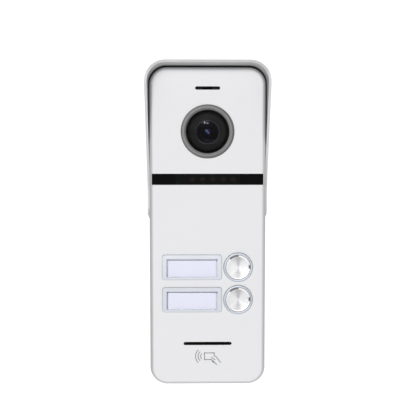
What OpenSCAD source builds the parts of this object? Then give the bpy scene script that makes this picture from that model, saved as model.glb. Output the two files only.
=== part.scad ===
// Outdoor call panel for a video intercom: a narrow housing with a camera, an infrared window,
// two call buttons with lit name plates, a card reader and a speaker, under a metal rain hood.
// The wall is the plane y = 0, the panel faces -y, x is to the right and z is up.
// Most pieces are drawn as an outline in x and z and given two distances from the wall.

/* [Panel] */
// Width of the panel
panel_w = 46; // [42:0.5:60]
// Height of the panel
panel_h = 126.4; // [124:0.2:160]
// Depth of the panel, from the hood's back plate to the face
panel_d = 20; // [19.5:0.1:30]
// Corner radius of the panel, seen from the front
corner_r = 6.9; // [5:0.1:9]
// Rounding of the edge between the face and the sides
edge_r = 2; // [1:0.1:2.5]
// Thickness of the front wall
front_t = 2.2; // [2:0.1:3]
// Thickness of the side walls
side_t = 2.2; // [1.6:0.1:3]
// Width of the ledge that the seal presses on
ledge_w = 2; // [1.5:0.1:2.5]

/* [Rain hood] */
// Sheet thickness of the hood
hood_t = 1; // [0.8:0.1:1.5]
// Gap between the hood and the panel's sides
hood_side_gap = 0.25; // [0.2:0.05:1]
// Gap between the hood and the panel's top
hood_top_gap = 0.5; // [0.3:0.1:1.5]
// How far the roof reaches past the face
hood_overhang = 7.6; // [4:0.1:15]
// How far behind the face the lower part of the wings stays
wing_setback = 7.7; // [3:0.1:9]
// Depth of the straight front edge, measured down from the roof
hood_brow_h = 8; // [4:0.5:14]
// Height at which the slanted edge meets the lower wing
wing_top_z = 17.5; // [12:0.5:22]
// Height of the wing's lower front corner
wing_end_z = 5; // [3:0.5:10]
// Fall of the wing's lower edge between its front corner and the wall
wing_fall = 3.5; // [1:0.5:6]
// Rounding of the bends in the hood's edge
hood_bend_r = 5; // [2:0.5:8]

/* [Wall fixing] */
// Distance between the two wall screw holes
wall_screw_spacing = 60; // [50:1:66]
// Diameter of the wall screw holes
wall_screw_hole = 4.2; // [3.5:0.1:5]
// Diameter of the recess that clears a wall screw's head
screw_head_recess = 9.4; // [8:0.2:11]
// Depth of the recess that clears a wall screw's head
screw_head_depth = 2.6; // [2:0.1:3]
// Width of the steel wall bracket
bracket_w = 24; // [20:1:26]
// Thickness of the wall bracket
bracket_t = 1.2; // [1:0.1:1.5]
// Height of the bracket's upper edge
bracket_top_z = 46; // [42:1:50]
// Diameter of the cable hole through the hood and the bracket
cable_hole = 16; // [15:0.5:18]
// Diameter of the grommet's bore
grommet_bore = 7; // [6:0.5:8]

/* [Camera] */
// Height of the camera's axis above the panel's centre
camera_z = 38; // [36:0.5:40]
// Outer diameter of the lens ring
lens_ring_d = 21; // [20:0.5:22]
// Inner diameter of the lens ring
lens_ring_bore = 17; // [16:0.2:17.4]
// How far the lens ring stands out of the face
lens_ring_proud = 0.3; // [0:0.1:1]
// Outer diameter of the lens barrel
barrel_d = 12; // [11:0.5:12.5]
// Diameter of the front lens element
front_lens_d = 9.2; // [8:0.1:9.4]

/* [Infrared window] */
// Height of the window's middle above the panel's centre
ir_z = 19.25; // [18:0.25:20]
// Height of the window
ir_window_h = 4.3; // [3.8:0.1:5]
// How far the window stops short of the panel's sides
ir_side_margin = 1.05; // [0.8:0.05:3]
// Depth of the channel that holds the window
ir_channel_d = 1.5; // [1.2:0.1:1.5]
// Number of places behind the window: one light sensor and the rest lamps
ir_places = 6; // [4:1:6]
// Distance between the places behind the window
ir_pitch = 4.05; // [4:0.05:4.4]
// Diameter of an infrared lamp
ir_lamp_d = 3; // [2.5:0.1:3.2]

/* [Sound] */
// Height of the microphone slot above the panel's centre
mic_z = 54.9; // [53:0.1:56]
// Length of the microphone slot
mic_slot_w = 9.8; // [6:0.2:12]
// Height of the speaker slot above the panel's centre
speaker_slot_z = -46.4; // [-48:0.1:-44]
// Length of the speaker slot
speaker_slot_w = 19.2; // [12:0.2:19.6]
// Height of both slots
slot_h = 1.3; // [1:0.1:2]
// Height of the speaker's centre above the panel's centre
speaker_z = -49; // [-49.5:0.5:-48]
// Diameter of the speaker
speaker_d = 20; // [18:0.5:20]

/* [Call stations] */
// Height of the upper station above the panel's centre
station_z = -15.7; // [-17:0.1:-15]
// Distance between the two stations
station_pitch = 13; // [12.9:0.1:14]
// Distance of the buttons from the panel's middle
button_x = 12.15; // [12:0.05:13]
// Outer diameter of a button's bezel
bezel_d = 11.75; // [11:0.05:12]
// Diameter of a button
button_d = 9.7; // [9:0.1:10]
// How far the bezel stands out of the face
bezel_proud = 0.5; // [0.2:0.1:1]
// How far the button stands out of the face
button_proud = 0.3; // [0:0.1:1]
// Travel of a button
button_travel = 0.9; // [0.5:0.1:0.9]
// Distance of the name plates from the panel's middle
plate_x = -6.2; // [-6.5:0.05:-6]
// Width of a name plate
plate_w = 23.6; // [20:0.1:23.8]
// Height of a name plate
plate_h = 9.9; // [9:0.1:10.2]
// Border of a name plate beside its window
plate_border_side = 1.75; // [1.2:0.05:2.2]
// Border of a name plate above its window
plate_border_top = 2.2; // [1:0.05:2.5]
// Border of a name plate below its window
plate_border_low = 0.95; // [0.8:0.05:1.5]
// How far a name plate stands out of the face
plate_proud = 0.2; // [0:0.1:0.6]
// Wire diameter of a button's spring
spring_wire = 0.4; // [0.3:0.05:0.45]
// Turns of a button's spring
spring_turns = 4; // [3:1:6]

/* [Fits] */
// Gap round a piece that drops into an opening
drop_gap = 0.05; // [0.03:0.01:0.1]
// Gap round the rear cover and the bracket
cover_gap = 0.15; // [0.1:0.05:0.3]
// Radial gap round a sliding button or plunger
slide_gap = 0.08; // [0.03:0.01:0.1]
// Gap left at rest between a button's collar and its bezel
stop_gap = 0.1; // [0.05:0.05:0.2]

/* [Hidden] */
$fn = 64;
board_t = 1.2;

// distances from the wall
panel_back = hood_t;
face_d = hood_t + panel_d;
front_in = face_d - front_t;
bracket_front = panel_back + bracket_t;
pocket_floor = bracket_front + 0.3;
cover_t = 3.6;
cover_in = panel_back + cover_t;
seal_t = 0.8;
ledge_d = cover_in + seal_t;
sill_front = ledge_d + 4.1;

// housing
cavity_w = panel_w - 2 * side_t;
cavity_top = panel_h / 2 - side_t;
cavity_bottom = -panel_h / 2 + side_t;
inner_w = cavity_w - 2 * ledge_w;
inner_top = cavity_top - ledge_w;
sill_h = 7;
cover_bottom = cavity_bottom + sill_h;
inner_bottom = cover_bottom + ledge_w;
cavity_r = corner_r - side_t;
inner_r = cavity_r - ledge_w;
cover_screw_x = inner_w / 2 - 3;
cover_screw_top = inner_top - 3.2;
cover_screw_low = inner_bottom + 3.4;
cover_boss_r = 2.8;
screw_pilot_r = 1;
wall_head_boss = screw_head_recess / 2 + 1.3;

// hood
hood_in_w = panel_w + 2 * hood_side_gap;
hood_in_top = panel_h / 2 + hood_top_gap;
hood_w = hood_in_w + 2 * hood_t;
hood_top = hood_in_top + hood_t;
hood_front = face_d + hood_overhang;
wing_front = face_d - wing_setback;
plate_low_z = -panel_h / 2 + 5;

// wall bracket
hook_w = 6;
hook_x = 7;
hook_z = bracket_top_z - 6;
hook_reach = 2.4;
hook_lip = 2.2;
hook_cut_top = 0.8;
tab_w = 12;
tab_z = cavity_bottom + 2.8;
tab_front = panel_back + 6.6;
lock_screw_d = panel_back + 3.9;
lock_screw_r = 1.45;

// camera stack, measured from the inner face of the front wall
ring_seat = front_in + 0.5;
baffle_back = front_in - 1.5;
window_back = face_d - 1.1;
window_front = face_d - 0.1;
barrel_front = baffle_back - 0.1;
barrel_back = barrel_front - 3.3;
camera_board_front = front_in - 6;
camera_board_back = camera_board_front - 1;
holder_front = barrel_front - 1.2;
holder_w = 14;
camera_board_w = 25;
camera_board_h = 18;
camera_post_x = 10.6;

// infrared window and its board
ir_floor = face_d - ir_channel_d;
ir_board_front = front_in - 3.4;
ir_board_w = 30.4;
ir_board_h = 6.4;
ir_post_x = 13.6;
ir_first_x = -ir_pitch * (ir_places - 1) / 2;

// microphone, speaker and card reader
mic_depth = 3.5;
gasket_t = 0.8;
speaker_front = front_in - gasket_t;
speaker_rim_t = 2.4;
magnet_r = 5;
magnet_t = 2;
antenna_w = min(25.4, 2 * (cover_screw_x - cover_boss_r - 0.3));
antenna_h = 21.6;
antenna_t = 0.8;

// call stations
stations = [1, 2];
plate_corner = 1.2;
plate_back = front_in - 1.2;
plate_lug = 1;
plate_open_w = plate_w - 2 * plate_border_side;
plate_open_h = plate_h - plate_border_top - plate_border_low;
label_back = face_d - 1;
label_t = 0.2;
label_ledge = 0.4;
guide_back = front_in - 2.8;
bezel_back = front_in - 1.3;
bezel_flange = min(0.42, inner_w / 2 - button_x - bezel_d / 2 - 0.05);
button_r = button_d / 2;
bezel_bore_r = button_r + slide_gap;
collar_r = button_r + 0.6;
collar_t = 0.9;
collar_front = bezel_back - stop_gap;
collar_back = collar_front - collar_t;
stem_r = 1.6;
stem_end = collar_back - 0.5;
button_board_front = front_in - 6.8;
button_board_back = button_board_front - board_t;
button_board_w = 36;
button_board_h = 31;
button_board_z = station_z - station_pitch / 2 + 0.2;
button_post_x = button_board_w / 2 - 1.6;
button_post_dz = button_board_h / 2 - 1.3;
switch_w = 6;
switch_front = button_board_front + 2.9;
plunger_r = 1.55;
plunger_end = stem_end - 2.5;
spring_r = collar_r - 0.65;
spring_gap = 0.05;

// main board
main_board_front = front_in - 8.6;
main_board_back = main_board_front - 1.6;
main_board_w = 34;
main_board_top = 52;
main_board_low = -34;
main_post_x = 14.6;
main_post_top = 48.5;
main_post_low = -4;
post_r = 2.2;
small_post_r = 1.6;

// ---- shared shapes ----

// Gives an outline in x and z its place between two distances from the wall.
module from_wall(near, far) {
    translate([0, -near, 0]) rotate([90, 0, 0]) linear_extrude(far - near) children();
}

// Rectangle with round corners, centred on the origin.
module rounded(w, h, r) {
    union() {
        square([w - 2 * r, h], center = true);
        square([w, h - 2 * r], center = true);
        for (sx = [-1, 1], sz = [-1, 1])
            translate([sx * (w / 2 - r), sz * (h / 2 - r)]) circle(r);
    }
}

// Rounded rectangle between two heights.
module rounded_between(w, low, high, r) {
    translate([0, (low + high) / 2]) rounded(w, high - low, r);
}

// Slot with round ends.
module slot_outline(w, h) {
    union() {
        square([w - h, h], center = true);
        for (sx = [-1, 1]) translate([sx * (w - h) / 2, 0]) circle(h / 2);
    }
}

// Disc or ring at a place on the panel.
module disc_at(x, z, r, near, far) {
    translate([x, -near, z]) rotate([90, 0, 0]) cylinder(r = r, h = far - near);
}

// Shape turned about an axis that points out of the panel; the outline is radius and wall distance.
module turned_at(x, z) {
    translate([x, 0, z]) rotate([90, 0, 0]) rotate_extrude() children();
}

// Block centred on x and z between two distances from the wall.
module block_at(x, z, w, h, near, far) {
    translate([x - w / 2, -far, z - h / 2]) cube([w, far - near, h]);
}

// Pan-head screw that is driven from behind: the head's underside is at head_d.
module rear_screw(x, z, head_r, head_t, shank_r, head_d, tip_d) {
    difference() {
        union() {
            disc_at(x, z, head_r, head_d - head_t, head_d);
            disc_at(x, z, shank_r, head_d - 0.01, tip_d);
        }
        block_at(x, z, head_r * 1.3, 0.35, head_d - head_t - 0.1, head_d - head_t / 2);
        block_at(x, z, 0.35, head_r * 1.3, head_d - head_t - 0.1, head_d - head_t / 2);
    }
}

function station_height(n) = station_z - (n - 1) * station_pitch;
function window_height(n) = station_height(n) + (plate_border_low - plate_border_top) / 2;
function place_x(i) = ir_first_x + i * ir_pitch;

// ---- housing ----

// Solid form of the panel with its rounded front edge, blended from its four corner columns.
module panel_form() {
    core_r = corner_r - edge_r;
    hull()
        for (sx = [-1, 1], sz = [-1, 1])
            translate([sx * (panel_w / 2 - corner_r), -face_d, sz * (panel_h / 2 - corner_r)])
                rotate([-90, 0, 0]) {
                    translate([0, 0, edge_r]) cylinder(r = corner_r, h = panel_d - edge_r, $fn = 32);
                    rotate_extrude($fn = 32)
                        translate([core_r, edge_r]) circle(edge_r, $fn = 24);
                }
}

// Front housing: one moulding with posts behind the face for everything it carries.
module front_housing() {
    color([0.86, 0.86, 0.87]) difference() {
        union() {
            difference() {
                panel_form();
                from_wall(panel_back - 1, ledge_d)
                    rounded_between(cavity_w, cover_bottom, cavity_top, cavity_r);
                from_wall(ledge_d - 0.1, front_in)
                    rounded_between(inner_w, inner_bottom, inner_top, inner_r);
                from_wall(sill_front, front_in)
                    rounded_between(inner_w, cavity_bottom, inner_top, inner_r);
            }
            for (sx = [-1, 1], z = [cover_screw_low, cover_screw_top])
                disc_at(sx * cover_screw_x, z, cover_boss_r, cover_in, front_in + 0.1);
            for (sx = [-1, 1], z = [main_post_low, main_post_top])
                disc_at(sx * main_post_x, z, post_r, main_board_front, front_in + 0.1);
            for (sx = [-1, 1]) {
                disc_at(sx * camera_post_x, camera_z, small_post_r, camera_board_front, front_in + 0.1);
                disc_at(sx * ir_post_x, ir_z, small_post_r, ir_board_front, front_in + 0.1);
            }
            for (sx = [-1, 1], sz = [-1, 1])
                disc_at(sx * button_post_x, button_board_z + sz * button_post_dz, 1.5,
                    button_board_front, front_in + 0.1);
        }
        // blind holes for the screws in the posts
        for (sx = [-1, 1], z = [cover_screw_low, cover_screw_top])
            disc_at(sx * cover_screw_x, z, screw_pilot_r, cover_in - 1, cover_in + 9);
        for (sx = [-1, 1], z = [main_post_low, main_post_top])
            disc_at(sx * main_post_x, z, screw_pilot_r, main_board_front - 1, main_board_front + 6);
        for (sx = [-1, 1]) {
            disc_at(sx * camera_post_x, camera_z, 0.8, camera_board_front - 1, camera_board_front + 4);
            disc_at(sx * ir_post_x, ir_z, 0.8, ir_board_front - 1, ir_board_front + 3);
        }
        for (sx = [-1, 1], sz = [-1, 1])
            disc_at(sx * button_post_x, button_board_z + sz * button_post_dz, 0.8,
                button_board_front - 1, button_board_front + 4);
        // lens seat and the well behind it
        disc_at(0, camera_z, lens_ring_d / 2 + drop_gap, ring_seat, face_d + 1);
        disc_at(0, camera_z, lens_ring_bore / 2 + drop_gap, baffle_back - 1, face_d);
        // infrared window channel and the holes for what looks through it
        block_at(0, ir_z, panel_w - 2 * ir_side_margin + 2 * drop_gap, ir_window_h + 2 * drop_gap,
            ir_floor, face_d + 1);
        for (i = [0 : ir_places - 1])
            disc_at(place_x(i), ir_z, ir_lamp_d / 2 + 0.2, front_in - 1, face_d);
        // sound slots
        from_wall(front_in - 1, face_d + 1) translate([0, mic_z]) slot_outline(mic_slot_w, slot_h);
        from_wall(front_in - 1, face_d + 1)
            translate([0, speaker_slot_z]) slot_outline(speaker_slot_w, slot_h);
        // call stations
        for (n = stations) {
            disc_at(button_x, station_height(n), bezel_d / 2 + drop_gap, front_in - 1, face_d + 1);
            from_wall(front_in - 1, face_d + 1) translate([plate_x, station_height(n)])
                rounded(plate_w + 2 * drop_gap, plate_h + 2 * drop_gap, plate_corner + drop_gap);
        }
        // pocket behind the sill for the bracket's tab, and the hole for the locking screw
        block_at(0, (cavity_bottom + cover_bottom) / 2 - 0.2, tab_w + 0.6, sill_h + 0.4,
            panel_back - 1, tab_front + 0.6);
        translate([0, -lock_screw_d, -panel_h / 2 - 1]) cylinder(r = lock_screw_r + 0.15, h = 5);
        translate([0, -lock_screw_d, -panel_h / 2 - 1]) cylinder(r = 2.9, h = 2.2);
    }
}

// Rear cover: a plate that closes the housing, with pockets for the bracket on its outer side.
module rear_cover() {
    w = cavity_w - 2 * cover_gap;
    color([0.16, 0.16, 0.17]) difference() {
        union() {
            from_wall(panel_back, cover_in)
                rounded_between(w, cover_bottom + cover_gap, cavity_top - cover_gap, cavity_r - cover_gap);
            for (sz = [-1, 1])
                disc_at(0, sz * wall_screw_spacing / 2, wall_head_boss, cover_in - 0.1,
                    bracket_front + screw_head_depth + 1.2);
            for (sx = [-1, 1])
                block_at(sx * hook_x, hook_z + 0.2, hook_w + 3.4, 9.4, cover_in - 0.1,
                    bracket_front + hook_reach + 1.5);
        }
        from_wall(panel_back - 1, pocket_floor)
            rounded_between(bracket_w + 0.6, -panel_h, bracket_top_z + 0.3, 2);
        for (sz = [-1, 1])
            disc_at(0, sz * wall_screw_spacing / 2, screw_head_recess / 2, panel_back,
                bracket_front + screw_head_depth);
        for (sx = [-1, 1]) {
            block_at(sx * hook_x, hook_z - 1.2, hook_w + 0.6, 4, panel_back,
                bracket_front + hook_reach + 0.3);
            block_at(sx * hook_x, hook_z + 0.1, hook_w + 0.6, 6.6, pocket_floor + 0.7,
                bracket_front + hook_reach + 0.3);
        }
        disc_at(0, 0, 6.05, 0, cover_in + 1);
        for (sx = [-1, 1], z = [cover_screw_low, cover_screw_top]) {
            disc_at(sx * cover_screw_x, z, 1.35, 0, cover_in + 1);
            disc_at(sx * cover_screw_x, z, 2.4, 0, panel_back + 1.8);
        }
    }
}

// Seal: a flat silicone ring between the cover and the housing's ledge.
module cover_seal() {
    color([0.25, 0.26, 0.28]) difference() {
        from_wall(cover_in, ledge_d)
            rounded_between(cavity_w - 2 * cover_gap, cover_bottom + cover_gap,
                cavity_top - cover_gap, cavity_r - cover_gap);
        from_wall(cover_in - 1, ledge_d + 1)
            rounded_between(inner_w + 0.4, inner_bottom - 0.2, inner_top + 0.2, inner_r + 0.2);
    }
}

// Four screws that hold the rear cover.
module cover_screws() {
    color([0.62, 0.63, 0.65])
        for (sx = [-1, 1], z = [cover_screw_low, cover_screw_top])
            rear_screw(sx * cover_screw_x, z, 2.2, 1.5, screw_pilot_r - drop_gap,
                panel_back + 1.8, cover_in + 7);
}

// Grommet: a rubber ring in the cover that the wall cable passes through.
module cable_grommet() {
    color([0.08, 0.08, 0.08]) turned_at(0, 0) difference() {
        union() {
            translate([0, pocket_floor - 0.8]) square([7.2, 0.8]);
            translate([0, pocket_floor - 0.1]) square([6, cover_in - pocket_floor + 0.2]);
            translate([0, cover_in]) square([7.2, 0.8]);
        }
        translate([-1, 0]) square([grommet_bore / 2 + 1, 20]);
    }
}

// ---- rain hood and wall fixing ----

// Side view of the hood: distance from the wall along x, height along y.
module hood_side_view() {
    brow_z = hood_top - hood_brow_h;
    offset(r = -hood_bend_r) offset(r = 2 * hood_bend_r) offset(r = -hood_bend_r)
        polygon([
            [-20, hood_top + 20], [hood_front, hood_top + 20], [hood_front, brow_z],
            [wing_front, wing_top_z], [wing_front, wing_end_z],
            [-20, wing_end_z - wing_fall - 20 * wing_fall / wing_front]
        ]);
}

// Rain hood: folded sheet with a roof, two wings and a back plate that lies on the wall.
module rain_hood() {
    color([0.8, 0.81, 0.83]) difference() {
        union() {
            intersection() {
                from_wall(0, hood_front + 1)
                    rounded_between(hood_w, -hood_top, hood_top, corner_r + hood_side_gap + hood_t);
                translate([-hood_w, 0, 0]) rotate([90, 0, 90]) linear_extrude(2 * hood_w)
                    mirror([1, 0]) hood_side_view();
            }
            from_wall(0, hood_t)
                rounded_between(panel_w - 2 * side_t, plate_low_z, hood_top - corner_r, 3);
        }
        from_wall(hood_t, hood_front + 2)
            rounded_between(hood_in_w, -hood_top - 5, hood_in_top, corner_r + hood_side_gap);
        for (sz = [-1, 1])
            disc_at(0, sz * wall_screw_spacing / 2, wall_screw_hole / 2, -1, hood_t + 1);
        disc_at(0, 0, cable_hole / 2, -1, hood_t + 1);
    }
}

// Wall bracket: a steel strip with two hooks near the top and a threaded tab at the bottom.
module wall_bracket() {
    color([0.66, 0.68, 0.7]) difference() {
        union() {
            from_wall(panel_back, bracket_front)
                rounded_between(bracket_w, cover_bottom + 1, bracket_top_z, 1.5);
            from_wall(panel_back, bracket_front) translate([0, (tab_z + cover_bottom) / 2 + 1])
                square([tab_w, cover_bottom - tab_z + 2], center = true);
            block_at(0, tab_z + bracket_t / 2, tab_w, bracket_t, panel_back, tab_front);
            for (sx = [-1, 1]) {
                block_at(sx * hook_x, hook_z, hook_w, bracket_t, bracket_front - 0.1,
                    bracket_front + hook_reach);
                block_at(sx * hook_x, hook_z + hook_lip / 2, hook_w, hook_lip + bracket_t,
                    bracket_front + hook_reach - bracket_t + 0.1, bracket_front + hook_reach);
            }
        }
        for (sz = [-1, 1])
            disc_at(0, sz * wall_screw_spacing / 2, wall_screw_hole / 2, 0, bracket_front + 1);
        disc_at(0, 0, cable_hole / 2, 0, bracket_front + 1);
        translate([0, -lock_screw_d, tab_z - 1]) cylinder(r = lock_screw_r + drop_gap, h = bracket_t + 2);
    }
}

// Locking screw: driven up through the bottom of the housing into the bracket's tab.
module locking_screw() {
    head_z = -panel_h / 2 + 1.2;
    color([0.62, 0.63, 0.65]) translate([0, -lock_screw_d, 0]) difference() {
        union() {
            translate([0, 0, head_z - 1.1]) cylinder(r = 2.7, h = 1.1);
            translate([0, 0, head_z - 0.01]) cylinder(r = lock_screw_r, h = tab_z + bracket_t + 1.4 - head_z);
        }
        translate([0, 0, head_z - 1.2]) cylinder(r = 1.1, h = 0.9, $fn = 6);
    }
}

// ---- camera ----

// Lens ring: a turned metal ring round the camera window.
module lens_ring() {
    front = face_d + lens_ring_proud;
    out_r = lens_ring_d / 2;
    in_r = lens_ring_bore / 2;
    color([0.5, 0.5, 0.5]) turned_at(0, camera_z)
        polygon([
            [in_r, ring_seat], [out_r, ring_seat], [out_r, front - 0.25], [out_r - 0.25, front],
            [in_r + 0.3, front], [in_r, front - 0.3]
        ]);
}

// Camera window: a clear disc inside the lens ring.
module lens_window() {
    color([0.2, 0.2, 0.22, 0.5])
        disc_at(0, camera_z, lens_ring_bore / 2 - drop_gap, window_back, window_front);
}

// Baffle: a black stepped cone that keeps stray light off the lens.
module lens_baffle() {
    steps = 5;
    hole_r = front_lens_d / 2 + 0.2;
    mouth_r = lens_ring_bore / 2 - 0.6;
    depth = window_back - baffle_back;
    color([0.05, 0.05, 0.05]) turned_at(0, camera_z) difference() {
        translate([0, baffle_back]) square([lens_ring_bore / 2 - drop_gap, depth]);
        translate([-1, baffle_back - 1]) square([hole_r + 1, depth + 2]);
        for (i = [1 : steps]) {
            translate([-1, baffle_back + depth * i / (steps + 1)])
                square([hole_r + (mouth_r - hole_r) * i / steps + 1, depth]);
        }
    }
}

// Lens barrel: a threaded tube that is screwed into the holder.
module lens_barrel() {
    color([0.1, 0.1, 0.1]) turned_at(0, camera_z) difference() {
        translate([0, barrel_back]) square([barrel_d / 2, barrel_front - barrel_back]);
        translate([-1, barrel_back - 1]) square([front_lens_d / 2 - 1.2 + 1, 6]);
        translate([-1, barrel_back + 1.8]) square([front_lens_d / 2 + drop_gap + 1, 6]);
    }
}

// Front lens element: a glass meniscus with a domed front.
module lens_front_element() {
    r = front_lens_d / 2;
    back = barrel_back + 1.85;
    rim = barrel_front - 0.2;
    dome = 1.4;
    sphere_r = (r * r + dome * dome) / (2 * dome);
    color([0.25, 0.2, 0.4, 0.6]) translate([0, 0, camera_z]) rotate([90, 0, 0]) union() {
        translate([0, 0, back]) cylinder(r = r, h = rim - back);
        intersection() {
            translate([0, 0, rim - 0.01]) cylinder(r = r, h = dome + 1);
            translate([0, 0, rim + dome - sphere_r]) sphere(sphere_r);
        }
    }
}

// Rear lens element: a small glass disc near the sensor.
module lens_rear_element() {
    disc_z = barrel_back + 0.2;
    color([0.3, 0.3, 0.4, 0.6])
        disc_at(0, camera_z, front_lens_d / 2 - 1.25, disc_z, disc_z + 1.3);
}

// Lens holder: a square block over the sensor that the barrel is threaded into.
module lens_holder() {
    color([0.1, 0.1, 0.11]) difference() {
        block_at(0, camera_z, holder_w, holder_w, camera_board_front, holder_front);
        disc_at(0, camera_z, barrel_d / 2 + drop_gap, barrel_back - 0.1, holder_front + 1);
        block_at(0, camera_z, 10, 10, camera_board_front - 1, barrel_back);
    }
}

// Image sensor on the camera board.
module image_sensor() {
    color([0.3, 0.32, 0.35])
        block_at(0, camera_z, 8, 7, camera_board_front, camera_board_front + 0.7);
}

// Camera board.
module camera_board() {
    color([0.05, 0.3, 0.15]) difference() {
        block_at(0, camera_z, camera_board_w, camera_board_h, camera_board_back, camera_board_front);
        for (sx = [-1, 1])
            disc_at(sx * camera_post_x, camera_z, 1, camera_board_back - 1, camera_board_front + 1);
    }
}

// Two screws that hold the camera board.
module camera_screws() {
    color([0.62, 0.63, 0.65])
        for (sx = [-1, 1])
            rear_screw(sx * camera_post_x, camera_z, 1.6, 1, 0.75, camera_board_back, camera_board_front + 3);
}

// ---- infrared lighting ----

// Infrared window: a dark acrylic bar let into the face, rounded with the panel's edges.
module ir_window() {
    color([0.03, 0.03, 0.03]) intersection() {
        panel_form();
        block_at(0, ir_z, panel_w - 2 * ir_side_margin, ir_window_h, ir_floor + 0.01, face_d + 1);
    }
}

// Board behind the infrared window.
module ir_board() {
    color([0.9, 0.9, 0.88]) difference() {
        block_at(0, ir_z, ir_board_w, ir_board_h, ir_board_front - 1, ir_board_front);
        for (sx = [-1, 1])
            disc_at(sx * ir_post_x, ir_z, 1, ir_board_front - 2, ir_board_front + 1);
    }
}

// Lamp or sensor of the board: a round body with a domed end.
module domed_lamp(x) {
    r = ir_lamp_d / 2;
    tip = ir_floor - 0.1;
    disc_at(x, ir_z, r + 0.3, ir_board_front, ir_board_front + 0.8);
    disc_at(x, ir_z, r, ir_board_front, tip - r);
    translate([x, -(tip - r), ir_z]) sphere(r);
}

// Infrared lamps, in every place but the first.
module ir_lamps() {
    color([0.45, 0.3, 0.25]) for (i = [1 : ir_places - 1]) domed_lamp(place_x(i));
}

// Light sensor, in the first place.
module light_sensor() {
    color([0.6, 0.6, 0.62]) domed_lamp(place_x(0));
}

// Two screws that hold the infrared board.
module ir_board_screws() {
    color([0.62, 0.63, 0.65])
        for (sx = [-1, 1])
            rear_screw(sx * ir_post_x, ir_z, 1.6, 1, 0.75, ir_board_front - 1, ir_board_front + 2);
}

// ---- sound and card reader ----

// Microphone capsule.
module microphone() {
    color([0.7, 0.7, 0.68])
        disc_at(0, mic_z, 2, front_in - mic_depth + 0.6, front_in - 1.2);
}

// Silicone boot that seals the microphone to the slot.
module mic_boot() {
    color([0.12, 0.12, 0.12]) difference() {
        from_wall(front_in - mic_depth, front_in) translate([0, mic_z]) rounded(mic_slot_w + 2, 6, 1.5);
        disc_at(0, mic_z, 2 + drop_gap, front_in - mic_depth - 1, front_in - 1.1);
        from_wall(front_in - 1.2, front_in + 1) translate([0, mic_z]) slot_outline(mic_slot_w, slot_h);
    }
}

// Speaker basket.
module speaker_frame() {
    r = speaker_d / 2;
    color([0.55, 0.56, 0.58]) turned_at(0, speaker_z) difference() {
        translate([0, speaker_front - speaker_rim_t]) square([r, speaker_rim_t]);
        translate([-1, speaker_front - speaker_rim_t + 0.6]) square([r, speaker_rim_t]);
        translate([-1, 0]) square([magnet_r - 0.5, 40]);
    }
}

// Speaker cone with its centre dome.
module speaker_cone() {
    r = speaker_d / 2 - 1.1;
    front = speaker_front - 0.3;
    back = speaker_front - speaker_rim_t + 0.9;
    color([0.2, 0.2, 0.2]) turned_at(0, speaker_z)
        polygon([[0, back], [3, back], [r, front - 0.2], [r, front], [3, back + 0.25], [0, back + 0.25]]);
}

// Speaker magnet and its cup.
module speaker_magnet() {
    back = speaker_front - speaker_rim_t - magnet_t;
    color([0.4, 0.41, 0.43])
        disc_at(0, speaker_z, magnet_r, back, speaker_front - speaker_rim_t);
}

// Foam ring between the speaker and the face.
module speaker_gasket() {
    r = speaker_d / 2;
    color([0.15, 0.15, 0.15]) turned_at(0, speaker_z)
        translate([r - 0.9, speaker_front]) square([0.9, gasket_t]);
}

// Loop antenna of the card reader: a thin board round the speaker, behind the face.
module reader_antenna() {
    color([0.1, 0.35, 0.2]) difference() {
        block_at(0, speaker_z, antenna_w, antenna_h, front_in - antenna_t, front_in);
        disc_at(0, speaker_z, speaker_d / 2 + 0.2, front_in - antenna_t - 1, front_in + 1);
    }
}

// ---- call stations ----

// Name plate frame: a pale clear moulding with a stepped window and two lugs behind the face.
module name_frame(n) {
    color([0.8, 0.83, 0.9]) difference() {
        union() {
            from_wall(plate_back, face_d + plate_proud)
                translate([plate_x, station_height(n)]) rounded(plate_w, plate_h, plate_corner);
            from_wall(plate_back, front_in) translate([plate_x, station_height(n)])
                rounded(plate_w, plate_h + 2 * plate_lug, plate_corner);
        }
        from_wall(label_back, face_d + plate_proud + 1)
            translate([plate_x, window_height(n)]) rounded(plate_open_w, plate_open_h, 0.5);
        block_at(plate_x, window_height(n), plate_open_w - 2 * label_ledge,
            plate_open_h - 2 * label_ledge, plate_back - 1, label_back + 0.1);
    }
}

// Name label: a printed strip behind the window.
module name_label(n) {
    color([0.9, 0.9, 0.98]) block_at(plate_x, window_height(n), plate_open_w - 1,
        plate_open_h - 0.4, label_back + 0.01, label_back + label_t);
}

// Clear window over the label.
module name_window(n) {
    color([0.9, 0.92, 1, 0.4])
        from_wall(label_back + label_t + 0.02, face_d - 0.05)
            translate([plate_x, window_height(n)])
                rounded(plate_open_w - 2 * drop_gap, plate_open_h - 2 * drop_gap, 0.45);
}

// Light guide that spreads the lamps' light behind a label.
module light_guide(n) {
    gap = 2 * (label_ledge + drop_gap);
    color([0.95, 0.95, 0.97]) block_at(plate_x, window_height(n), plate_open_w - gap,
        plate_open_h - gap, guide_back, label_back - 0.05);
}

// Label lamps on the button board, two to a label.
module label_lamps() {
    color([0.95, 0.93, 0.8])
        for (n = stations, sx = [-1, 1])
            block_at(plate_x + sx * plate_open_w / 4, station_height(n), 3, 1.5,
                button_board_front, button_board_front + 0.8);
}

// Button bezel: a metal ring through the face, with a flange behind it.
module button_bezel(n) {
    r = bezel_d / 2;
    front = face_d + bezel_proud;
    color([0.78, 0.8, 0.85]) turned_at(button_x, station_height(n))
        polygon([
            [bezel_bore_r, bezel_back], [r + bezel_flange, bezel_back], [r + bezel_flange, front_in],
            [r, front_in], [r, front - 0.3], [r - 0.3, front], [bezel_bore_r + 0.25, front],
            [bezel_bore_r, front - 0.25]
        ]);
}

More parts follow.
